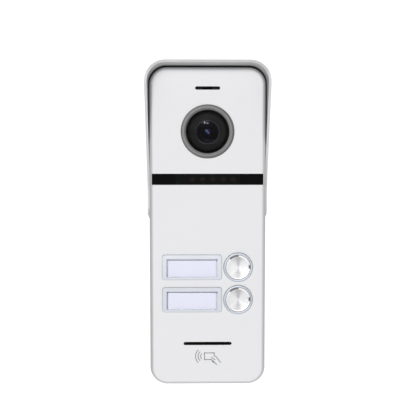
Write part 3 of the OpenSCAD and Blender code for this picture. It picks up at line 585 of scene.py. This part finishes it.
bar_low, bar_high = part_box("ir_window")
bar = block("infrared_bar", bar_low, bar_high)
edit(bar)
choose(bar, "EDGE", lambda e: middle(e).y < bar_low.y + 0.1 * mm
       and abs(e.verts[0].co.z - e.verts[1].co.z) > 1 * mm)
bpy.ops.mesh.bevel(offset=0.55 * mm, segments=6, profile=0.5, affect="EDGES")
leave()
soften(bar, 0.08 * mm, 2, 50)
acrylic = Finish("smoked_acrylic", (0.006, 0.006, 0.006), 0.12, 0.0, Specular_IOR_Level=0.2)
lamp_pitch, places = 4.05 * mm, 6
lamp_xs = [(i - (places - 1) / 2) * lamp_pitch for i in range(places)]
bar_z = (bar_low.z + bar_high.z) / 2
lamps_seen = sum(acrylic.fade(acrylic.reach((x, bar_z), (0.8, 0, 0.95)), 0.4 * mm, 1.35 * mm)
                 for x in lamp_xs[1:])
strip_seen = acrylic.fade(acrylic.reach((0, bar_z), (1, 0, 0)), 12.4 * mm, 12.9 * mm)
behind_bar = acrylic.mix(strip_seen, (0.0055, 0.0055, 0.0058), (0.0105, 0.0115, 0.0105))
acrylic.feed("Base Color", acrylic.mix(lamps_seen, behind_bar, (0.034, 0.022, 0.018)))
acrylic.feed("Roughness", 0.10 + acrylic.noise(5 * mm, 3.0) * 0.08)
acrylic.bump(acrylic.noise(3 * mm), 0.004 * mm)
fit(bar, "panel", acrylic, "black_acrylic", "ir_window")


# ---- Microphone, speaker and card reader ----
# The microphone, a nickel can with felt on its front, sits in a silicone boot behind the upper slot, and
# the speaker on a foam ring behind the lower one. The reader's antenna is a thin board round the speaker.

tin = Finish("nickel_can", (0.62, 0.61, 0.58), 0.3, 0.6)
felt_behind = -17.55 * mm
felted = tin.axis("Y") < felt_behind
tin.feed("Base Color", tin.mix(felted, (0.62, 0.61, 0.58), (0.006, 0.006, 0.006)))
tin.feed("Roughness", 0.25 + felted * 0.6)
tin.bump(tin.noise(0.2 * mm, 3.0), 0.01 * mm)
plated = grained("plated_steel", (0.42, 0.42, 0.44), 0.35, 0.3 * mm, 0.006 * mm, 0.9)
paper = Finish("coated_paper", (0.03, 0.03, 0.031), 0.7, 0.0, Specular_IOR_Level=0.15)
fibres = paper.noise(0.4 * mm, 6.0, paper.stretched((1, 1, 3)))
paper.feed("Base Color", paper.mix(fibres, (0.008, 0.008, 0.008), (0.02, 0.02, 0.02)))
paper.bump(fibres, 0.02 * mm)
foam = Finish("closed_foam", (0.03, 0.03, 0.031), 0.85, 0.0, Specular_IOR_Level=0.15)
pores_per_metre = 3500.0
pores = foam.node("ShaderNodeTexVoronoi", {}, {"Vector": foam.place(), "Scale": pores_per_metre})
foam.feed("Base Color", foam.mix(pores, (0.008, 0.008, 0.008), (0.025, 0.025, 0.025)))
foam.bump(pores, 0.05 * mm)
dress(tin, "microphone")
dress(rubber, "mic_boot")
dress(plated, "speaker_frame", "speaker_magnet")
dress(paper, "speaker_cone")
dress(foam, "speaker_gasket")
dress(green_mask, "reader_antenna")


# ---- Button board ----
# A second green board behind the call stations, with two black switches, their plungers and springs,
# the label lamps, and the opal light guides that stand in front of the lamps.

spring_wire = grained("spring_wire", (0.62, 0.63, 0.65), 0.22, 0.3 * mm, 0.003 * mm, 1.0)
opal = Finish("opal_acrylic", (0.82, 0.83, 0.90), 0.3, 0.0, Subsurface_Weight=0.3,
              Subsurface_Radius=(1.0, 1.0, 1.0), Subsurface_Scale=1 * mm)
opal.feed("Roughness", 0.25 + opal.noise(2 * mm) * 0.15)
opal.feed("Base Color", opal.mix(opal.noise(4 * mm), (0.78, 0.79, 0.87), (0.86, 0.87, 0.92)))
dress(green_mask, "button_board")
dress(steel, "button_board_screws")
dress(epoxy, "label_lamps")
for n in (1, 2):
    dress(opal, f"light_guide_{n}")
    dress(moulded, f"switch_body_{n}", f"switch_plunger_{n}")
    dress(spring_wire, f"button_spring_{n}")


# ---- Front housing ----
# One moulding in silver-painted plastic, 2.2 mm thick, with a soft 2 mm edge round its face. All its
# openings are cut from the front, and the posts for the boards and the rear cover stand behind them.

wall, face_edge, side_corner = 2.2 * mm, 2 * mm, 6.9 * mm
foot_wall, inner_rim = 7 * mm, 1.5 * mm
cover_pocket, cover_ledge, cavity = 4.4 * mm, 2 * mm, 13.4 * mm
housing = block("housing_moulding", panel_low, panel_high)
round_corners(housing, side_corner, 20)
edit(housing)
choose(housing, "EDGE", lambda e: all(v.co.y < panel_low.y + 0.01 * mm for v in e.verts))
bpy.ops.mesh.bevel(offset=face_edge, segments=10, profile=0.5, affect="EDGES")
choose(housing, "FACE", lambda f: f.normal.y > 0.9)
bpy.ops.mesh.inset(thickness=wall)
choose(housing, "VERT", lambda v: v.co.y > panel_high.y - 0.01 * mm
       and panel_low.z + inner_rim < v.co.z < 0 and abs(v.co.x) < panel_high.x - inner_rim)
bpy.ops.transform.translate(value=(0, 0, foot_wall))
large = 1000 * mm * mm
for depth, border in ((cover_pocket, cover_ledge), (cavity, 0)):
    choose(housing, "FACE", lambda f: f.normal.y > 0.9 and abs(middle(f).x) < 1 * mm
           and f.calc_area() > large)
    bpy.ops.mesh.extrude_region_move(TRANSFORM_OT_translate={"value": (0, -depth, 0)})
    if border:
        bpy.ops.mesh.inset(thickness=border)
leave()

# what is cut out of it: cutters run from past the face to behind the face's wall
past_face, behind_wall = 23 * mm, 17 * mm
gap, plate_gap = 0.05 * mm, 0.1 * mm
inside = 18.8 * mm


def opening(left, right, foot, top, near, corner=0.0):
    """A cutter for a flat-sided hole in the face, down to a distance from the wall."""
    tool = block("opening", (left, -past_face, foot), (right, -near, top))
    return round_corners(tool, corner, 10) if corner else tool


def sound_slot(centre_z, length):
    height = 1.3 * mm
    tool = block("slot", (-length / 2, -past_face, centre_z - height / 2),
                 (length / 2, -behind_wall, centre_z + height / 2))
    return round_corners(tool, height * 0.499, 8)


def lock_hole(name, radius, depth, centre_z, sides):
    """Part of the stepped hole for the locking screw, which goes in from below."""
    centre = (0, -4.9 * mm, centre_z)
    return start(name, "cylinder", radius=radius, depth=depth, location=centre, vertices=sides)


mic_slot_z, speaker_slot_z = 54.9 * mm, -46.4 * mm
caps = [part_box(f"button_cap_{n}") for n in (1, 2)]
stations = [((low.x + high.x) / 2, (low.z + high.z) / 2) for low, high in caps]
cutters = [
    rod("seat", lens, ring_r * mm + gap, 19.3 * mm, past_face, 128),
    rod("well", lens, 8.55 * mm, behind_wall, 20 * mm, 96),
    opening(bar_low.x - gap, bar_high.x + gap, bar_low.z - gap, bar_high.z + gap, 19.5 * mm),
    sound_slot(mic_slot_z, 9.8 * mm),
    sound_slot(speaker_slot_z, 19.2 * mm),
    block("tab_pocket", (-6.3 * mm, -8.2 * mm, -61.2 * mm), (6.3 * mm, 0, -53.8 * mm)),
    lock_hole("screw_head", 2.9 * mm, 3 * mm, -63.5 * mm, 48),
    lock_hole("screw_hole", 1.6 * mm, 6 * mm, -61.2 * mm, 32),
    block("low_cavity", (-18.8 * mm, -inside, -61 * mm), (18.8 * mm, -9.5 * mm, -50 * mm)),
]
lamp_hole_r, button_hole_r = 1.7 * mm, 5.925 * mm
cutters += [rod("lamp_hole", (x, bar_z), lamp_hole_r, 18 * mm, 20 * mm, 32) for x in lamp_xs]
plate_lug, plate_corner = 1 * mm, 1.2 * mm
for n in (1, 2):
    low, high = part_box(f"name_frame_{n}")
    cutters.append(opening(low.x - plate_gap, high.x + plate_gap, low.z + plate_lug - plate_gap,
                           high.z - plate_lug + plate_gap, behind_wall, plate_corner + gap))
    cutters.append(rod("button_hole", stations[n - 1], button_hole_r, behind_wall, past_face, 96))
carve(housing, "DIFFERENCE", cutters)
soften(housing, 0.1 * mm)

# posts, alike on both sides: place across and up, radius, and distance of their ends from the wall
post_sizes = (
    (15.8, -48.7, 2.8, 4.6), (15.8, 55.8, 2.8, 4.6), (14.6, -4, 2.2, 10.2), (14.6, 48.5, 2.2, 10.2),
    (10.6, 38, 1.6, 12.8), (13.6, 19.25, 1.6, 15.4), (16.4, -7.8, 1.5, 12.0), (16.4, -36.2, 1.5, 12.0))
posts = [rod("post", (side * x * mm, z * mm), r * mm, near * mm, inside, 24)
         for side in (-1, 1) for x, z, r, near in post_sizes]
housing = joined([housing] + posts)

# silver outside, near-black painted shade inside and in the openings, and painted shade on the rounded edge
paint = Finish("housing_silver", silver, 0.48, 0.0, Specular_IOR_Level=0.12)
flakes = paint.noise(0.1 * mm, 1.0)
sprayed = paint.mix(flakes, shaded(silver, 0.95), shaded(silver, 1.05))
from_middle = paint.node("ShaderNodeMath", {"operation": "ABSOLUTE"}, {0: paint.axis("X")})
up_or_down = paint.node("ShaderNodeMath", {"operation": "ABSOLUTE"}, {0: paint.axis("Z")})
# painted shade: everything behind the face plane and inside the sides is made near black
behind_face = paint.axis("Y") > panel_low.y + 0.2 * mm
off_sides = (from_middle < 20.9 * mm) * (up_or_down < 61.1 * mm)
off_corners = from_middle + up_or_down < 72 * mm
dark_inside_shade = behind_face * off_sides * off_corners
out_of_wall = 0.0 - paint.axis("Y", paint.node("ShaderNodeNewGeometry", {}, {}, "Normal"))
# painted shade on the rounded edge round the face, where it turns away from the light
rounded_edge_shade = paint.fade(out_of_wall, 0.84, 0.997) * paint.fade(out_of_wall, 0.3, 0.05)
sprayed = paint.mix(rounded_edge_shade, sprayed, shaded(silver, 0.69))
paint.feed("Base Color", paint.mix(dark_inside_shade, sprayed, (0.008, 0.008, 0.008)))
paint.feed("Roughness", 0.38 + paint.noise(12 * mm, 3.0) * 0.12)
paint.bump(paint.noise(0.3 * mm, 3.0), 0.004 * mm)
fit(housing, "panel", paint, "silver_paint", "front_housing")


# ---- Name plates ----
# A pale blue-grey acrylic frame is pushed through the face from behind and holds a clear window over a
# printed strip. The upper edge of its opening slopes in, and the light of the lamps behind is painted on the
# strip as a glow.

lavender = (0.86, 0.88, 1.0)
# the strip's glow is painted light: an emission that stands for the lamps behind it
film = Finish("printed_film", (0.30, 0.30, 0.36), 0.6, 0.0, Emission_Strength=0.6)
film.feed("Emission Color", film.mix(film.noise(5 * mm), shaded(lavender, 0.96), lavender))
film.bump(film.noise(0.25 * mm, 4.0), 0.005 * mm)
pane = Finish("pane_acrylic", (0.97, 0.975, 1.0), 0.03, 1.0)
pane.feed("Roughness", 0.02 + pane.noise(3 * mm, 2.0) * 0.03)
pane.glaze(0.03)
lug_t, pane_seat, slope, pane_lip = 1.2 * mm, 20 * mm, 1.15 * mm, 0.35 * mm
for n in (1, 2):
    low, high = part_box(f"name_frame_{n}")
    pane_low, pane_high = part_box(f"name_window_{n}")
    strip_low, strip_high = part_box(f"name_label_{n}")
    plate = block(f"name_frame_{n}_body", (low.x, low.y, low.z + plate_lug),
                  (high.x, high.y, high.z - plate_lug))
    round_corners(plate, plate_corner, 10)
    lugs = round_corners(block("lugs", (low.x, high.y - lug_t, low.z), high), plate_corner, 10)
    carve(plate, "UNION", [lugs])
    mouth = block("mouth", (pane_low.x - gap, low.y - 1 * mm, pane_low.z - gap),
                  (pane_high.x + gap, -pane_seat, pane_high.z + gap))
    edit(mouth)
    choose(mouth, "VERT", lambda v: v.co.y < low.y and v.co.z > pane_low.z + 1 * mm)
    bpy.ops.transform.translate(value=(0, 0, slope))
    leave()
    well = block("well", (pane_low.x + pane_lip, panel_low.y, pane_low.z + pane_lip),
                 (pane_high.x - pane_lip, high.y + 1 * mm, pane_high.z - pane_lip))
    carve(plate, "DIFFERENCE", [mouth, well])
    soften(plate, 0.24 * mm, 3)

    # painted shadow lines along the window's top and left side, and painted shade on the frame's outer edge
    framing = Finish(f"frame_acrylic_{n}", (0.68, 0.71, 0.77), 0.2, 0.0, Coat_Weight=0.2, Coat_Roughness=0.1)
    clouds = framing.mix(framing.noise(3 * mm), (0.655, 0.685, 0.745), (0.71, 0.74, 0.80))
    above = framing.axis("Z") - pane_high.z
    below = pane_low.z - framing.axis("Z")
    beside = pane_low.x - framing.axis("X")
    past_end = framing.axis("X") > pane_high.x + 0.1 * mm
    top_shadow = framing.fade(above, 0.1 * mm, 0.6 * mm) * (above > -0.4 * mm) * (beside < 0.1 * mm)
    side_shadow = framing.fade(beside, 0.0, 0.25 * mm) * (beside > -0.2 * mm) * (above < 0.2 * mm)
    shadow_lines = top_shadow * (1.0 - past_end) + side_shadow * (below < 0.1 * mm) * 0.6
    normal = framing.node("ShaderNodeNewGeometry", {}, {}, "Normal")
    leaning = framing.node("ShaderNodeVectorMath", {"operation": "DOT_PRODUCT"}, {
        0: framing.outward(((low.x + high.x) / 2, (low.z + high.z) / 2)), 1: normal}, "Value")
    # painted shade on the faces that lean outward, the frame's outer edge
    clouds = framing.mix(leaning > 0.12, clouds, (0.36, 0.39, 0.44))
    framing.feed("Base Color", framing.mix(shadow_lines, clouds, (0.26, 0.27, 0.32)))
    framing.feed("Roughness", 0.12 + framing.noise(2 * mm, 3.0) * 0.1)
    framing.bump(framing.noise(1.2 * mm), 0.004 * mm)
    fit(plate, "panel", framing, "plate_acrylic", f"name_frame_{n}")
    cover = soften(block(f"name_window_{n}_pane", pane_low, pane_high), 0.1 * mm)
    fit(cover, "panel", pane, "window_acrylic", f"name_window_{n}")
    strip = soften(block(f"name_label_{n}_strip", strip_low, strip_high), 0.03 * mm)
    fit(strip, "panel", film, "label_film", f"name_label_{n}")


# ---- Call buttons ----
# A turned metal bezel is let into the face, and a spun aluminium cap slides in it on its spring. The
# spinning leaves fine rings; the bright and dark fans that they throw across the cap are painted into its
# colour.

def fans_round(finish, centre, pitch):
    """Turning rings, a normal that leans along them, and how far a point lies up or down from centre."""
    radius, marks = rings_round(finish, centre, pitch)
    outward = finish.outward(centre)
    sideways = finish.node("ShaderNodeVectorMath", {"operation": "SCALE"},
                           {0: outward, "Scale": (marks - 0.5) * 0.6})
    facing = finish.node("ShaderNodeNewGeometry", {}, {}, "Normal")
    tilted = finish.node("ShaderNodeVectorMath", {"operation": "ADD"}, {0: facing, 1: sideways})
    normal = finish.node("ShaderNodeVectorMath", {"operation": "NORMALIZE"}, {0: tilted})
    up = finish.node("ShaderNodeMath", {"operation": "ABSOLUTE"}, {0: finish.axis("Z", outward)})
    return radius, marks, normal, up


polished = Finish("turned_bezel", (0.54, 0.57, 0.63), 0.3, 0.25)
polished.feed("Roughness", 0.3 + polished.noise(2 * mm, 3.0) * 0.12)
polished.feed("Base Color", polished.mix(polished.noise(4 * mm), (0.47, 0.50, 0.56), (0.56, 0.59, 0.65)))
polished.bump(polished.noise(0.2 * mm), 0.002 * mm)
outer_r, bore_r, cap_r, stem_r = 5.875, 4.93, 4.85, 1.6
collar_back, collar_front, dish, dish_steps = 0.5, 1.4, 0.2, 10
for n, (cap_low, cap_high) in zip((1, 2), caps):
    centre = stations[n - 1]
    bezel_low, bezel_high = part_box(f"button_bezel_{n}")
    back, top = -bezel_high.y / mm, -bezel_low.y / mm
    flange_r, flange_top = (bezel_high.x - bezel_low.x) / 2 / mm, inside / mm
    bezel = turned(f"button_bezel_{n}_ring", centre, [
        (bore_r, back), (flange_r, back), (flange_r, flange_top), (outer_r, flange_top),
        (outer_r, top - 0.4), (outer_r - 0.1, top - 0.15), (outer_r - 0.32, top),
        (bore_r + 0.12, top), (bore_r + 0.03, top - 0.05), (bore_r, top - 0.16), (bore_r, back)], 96)
    smooth(bezel, 40)
    fit(bezel, "panel", polished, "bezel_metal", f"button_bezel_{n}")

    # the cap: a short stem for the switch, a collar that stops it, and a face dished a little
    collar_r = (cap_high.x - cap_low.x) / 2 / mm
    end, cap_top = -cap_high.y / mm, -cap_low.y / mm
    dished = [(cap_r - 0.35, cap_top - 0.02)]
    for i in range(dish_steps + 1):
        out = 1 - i / dish_steps
        dished.append(((cap_r - 0.5) * out, cap_top - 0.06 - dish * (1 - out ** 2)))
    cap = turned(f"button_cap_{n}_spun", centre, [
        (0, end), (stem_r - 0.1, end), (stem_r, end + 0.1), (stem_r, end + collar_back),
        (collar_r, end + collar_back), (collar_r, end + collar_front), (cap_r, end + collar_front),
        (cap_r, cap_top - 0.3), (cap_r - 0.04, cap_top - 0.1), (cap_r - 0.14, cap_top)] + dished, 96)
    smooth(cap, 40)

    # spun: painted reflections of dark fans and streaks inside a painted bright rim highlight, and two
    # painted shadow spots where the rim meets the face
    spun = Finish(f"spun_aluminium_{n}", (0.86, 0.86, 0.87), 0.3, 0.2)
    radius, marks, normal, up = fans_round(spun, centre, 0.3 * mm)
    fan_reflection = spun.node("ShaderNodeMath", {"operation": "POWER"}, {0: up, 1: 9.0})
    streak_reflection = spun.noise(0.3, 2.0, spun.outward(centre))
    inner = spun.fade(radius, (cap_r - 0.75) * mm, (cap_r - 0.45) * mm)
    tone = spun.mix(fan_reflection * inner, (0.79, 0.79, 0.80), (0.41, 0.41, 0.43))
    tone = spun.mix(inner * (streak_reflection > 0.5) * 0.22, tone, (0.5, 0.5, 0.515))
    # a painted highlight on the bright rim round the dish
    tone = spun.mix(inner, (0.99, 0.99, 0.99), tone)
    for way, spread, edge, shadow_grey in (((-0.36, 0, 0.93), 0.90, 4.05, 0.09), ((1, 0, 0.04), 0.972, 4.0, 0.02)):
        toward = spun.node("ShaderNodeVectorMath", {"operation": "DOT_PRODUCT"},
                           {0: spun.outward(centre), 1: way}, "Value")
        shadow_spot = spun.fade(toward, spread + 0.03, spread) * spun.fade(radius, (edge + 0.35) * mm, edge * mm)
        tone = spun.mix(shadow_spot, tone, (shadow_grey, shadow_grey, shadow_grey * 1.05))
    spun.feed("Base Color", spun.mix(marks * 0.25, tone, (0.55, 0.55, 0.56)))
    spun.feed("Roughness", 0.24 + marks * 0.14)
    spun.feed("Normal", normal)
    fit(cap, f"button_{n}", spun, "spun_aluminium", f"button_cap_{n}")


# ---- Card symbol ----
# A small grey sign is pad-printed under the speaker slot: waves, a card and a hand that holds it.
# The ink lies a few hundredths of a millimetre proud of the paint.

ink_low, ink_t, line_w = -panel_low.y - 0.005 * mm, 0.03 * mm, 0.38 * mm
card_low, card_high = Vector((-1.25, 0, -52.95)) * mm, Vector((2.6, 0, -50.25)) * mm
wave_x, wave_z, wave_turn = card_low.x - 0.1 * mm, (card_low.z + card_high.z) / 2, math.radians(48)
strokes = []


def bar_between(first, last):
    """A printed stroke with round ends between two points, given as x and z in mm."""
    a, b = [Vector((x, 0, z)) * mm for x, z in (first, last)]
    length = (b - a).length + line_w
    stroke = block("stroke", (-length / 2, -ink_t / 2, -line_w / 2), (length / 2, ink_t / 2, line_w / 2))
    round_corners(stroke, line_w * 0.49, 5)
    stroke.rotation_euler.y = -math.atan2(b.z - a.z, b.x - a.x)
    stroke.location = (a + b) / 2 - Vector((0, ink_low + ink_t / 2, 0))
    bpy.ops.object.transform_apply(location=True, rotation=True, scale=True)
    return stroke


for radius in (1.45 * mm, 2.45 * mm, 3.5 * mm):
    wave = block("wave", (-radius - line_w / 2, -ink_t - ink_low, -0.001 * mm),
                 (-radius + line_w / 2, -ink_low, 0.001 * mm))
    wave.location = (wave_x, 0, wave_z)
    bpy.ops.object.transform_apply(location=True, rotation=True, scale=True)
    edit(wave)
    choose(wave, "FACE", lambda f: f.normal.z > 0.9)
    bpy.ops.mesh.spin(steps=24, angle=wave_turn, center=(wave_x, 0, wave_z), axis=(0, 1, 0))
    choose(wave, "FACE", lambda f: f.normal.z < -0.9 and abs(middle(f).z - wave_z) < 0.01 * mm)
    bpy.ops.mesh.spin(steps=24, angle=-wave_turn, center=(wave_x, 0, wave_z), axis=(0, 1, 0))
    bpy.ops.mesh.select_all(action="SELECT")
    bpy.ops.mesh.remove_doubles(threshold=0.0015 * mm)
    bpy.ops.mesh.normals_make_consistent(inside=False)
    leave()
    strokes.append(wave)

# the card's outline stays open where the hand holds it; then come four strokes for the hand
corners = [(card_low.x / mm, card_low.z / mm), (card_low.x / mm, card_high.z / mm),
           (card_high.x / mm, card_high.z / mm), (card_high.x / mm, -51.6)]
strokes += [bar_between(a, b) for a, b in zip(corners, corners[1:])]
strokes.append(bar_between(corners[0], (1.45, card_low.z / mm)))
strokes += [bar_between(a, b) for a, b in (((1.45, -52.95), (3.6, -54.95)), ((1.9, -53.6), (2.5, -54.1)),
                                           ((3.15, -51.55), (5.15, -54.1)), ((1.55, -52.0), (2.9, -53.0)))]
symbol = joined(strokes)
symbol.name = symbol.data.name = "card_symbol"
ink = grained("grey_ink", (0.31, 0.31, 0.315), 0.6, 0.1 * mm, 0.003 * mm, cloud=0.5 * mm)
fit(symbol, "panel", ink, "silver_paint")


# ---- Studio ----
# A pale floor well below the panel, an even white room, a large soft light in front and above, a smaller
# one at the right and a dim one behind. Two small lamps shine on the glass of the panel's lens only.

floor_radius, floor_z = 1.2, panel_low.z - 0.5
floor = start("studio_floor", "circle", radius=floor_radius, vertices=96, fill_type="NGON",
              location=(0, 0, floor_z))
floor_paint = grained("floor_paint", (0.94, 0.94, 0.94), 0.6, 20 * mm, 0.05 * mm, cloud=0.3, spread=0.01,
                      Emission_Color=(1, 1, 1, 1), Emission_Strength=0.3)
floor.data.materials.append(floor_paint.material)

world = bpy.data.worlds.new("white_room")
bpy.context.scene.world = world
world.use_nodes = True
room = world.node_tree
sky = room.nodes["Background"]
backdrop = room.nodes.new("ShaderNodeBackground")
seen_by_camera = room.nodes.new("ShaderNodeLightPath")
either = room.nodes.new("ShaderNodeMixShader")
sky.inputs["Color"].default_value = (1, 1, 1, 1)
sky.inputs["Strength"].default_value = 0.24
backdrop.inputs["Color"].default_value = (1, 1, 1, 1)
backdrop.inputs["Strength"].default_value = 1.1
room.links.new(seen_by_camera.outputs["Is Camera Ray"], either.inputs[0])
room.links.new(sky.outputs[0], either.inputs[1])
room.links.new(backdrop.outputs[0], either.inputs[2])
room.links.new(either.outputs[0], room.nodes["World Output"].inputs["Surface"])


def softbox(name, place, target, size, power):
    """An area light that faces its target."""
    lamp = bpy.data.lights.new(name, "AREA")
    lamp.shape = "RECTANGLE"
    (lamp.size, lamp.size_y), lamp.energy = size, power
    fixture = bpy.data.objects.new(name, lamp)
    fixture.location = place
    fixture.rotation_euler = (Vector(target) - Vector(place)).to_track_quat("-Z", "Y").to_euler()
    bpy.context.scene.collection.objects.link(fixture)
    return fixture


lens_point = Vector((lens[0], panel_low.y - 0.5 * mm, lens[1]))
front_light = softbox("front_light", (-0.22, -1.95, 0.32), (0, 0, 0), (1.2, 1.2), 26.0)
softbox("side_light", (1.3, 0.15, 0.7), (0, 0, 0), (0.5, 0.5), 5.0)
softbox("back_light", (0.2, 0.9, 0.5), (0, 0, 0), (0.7, 0.7), 0.5)

# a flag keeps the front light off the lens and the black bar, and the lens lamps light only the lens
flagged, glasses = [bpy.data.collections.new(name) for name in ("flagged", "glasses")]
for piece in (element, window, baffle, bar):
    flagged.objects.link(piece)
for member in flagged.collection_objects:
    member.light_linking.link_state = "EXCLUDE"
front_light.light_linking.receiver_collection = flagged
glasses.objects.link(element)
glasses.objects.link(window)
for side, way, power in (("left", (-0.078, -0.374, 0.321), 1.2), ("right", (0.010, -0.377, 0.326), 2.6)):
    lamp = softbox(f"lens_lamp_{side}", lens_point + Vector(way), lens_point, (0.024, 0.08), power)
    lamp.light_linking.receiver_collection = glasses

# the camera stands a little above the panel and to its left, close enough for some perspective
distance, pitch, yaw = 260 * mm, math.radians(3.6), math.radians(0.9)
film_width, focal_length = 36, 56.9423
aim = Vector((0.15 * mm, panel_low.y, 7.93 * mm))
camera = bpy.data.objects.new("front_camera", bpy.data.cameras.new("front_camera"))
camera.location = aim + distance * Vector((-math.sin(yaw) * math.cos(pitch),
                                           -math.cos(yaw) * math.cos(pitch), math.sin(pitch)))
camera.rotation_euler = (aim - camera.location).to_track_quat("-Z", "Y").to_euler()
camera.data.sensor_width, camera.data.lens = film_width, focal_length
camera.data.clip_start = 0.01
bpy.context.scene.collection.objects.link(camera)
bpy.context.scene.camera = camera
bpy.context.scene.view_settings.view_transform = "Standard"
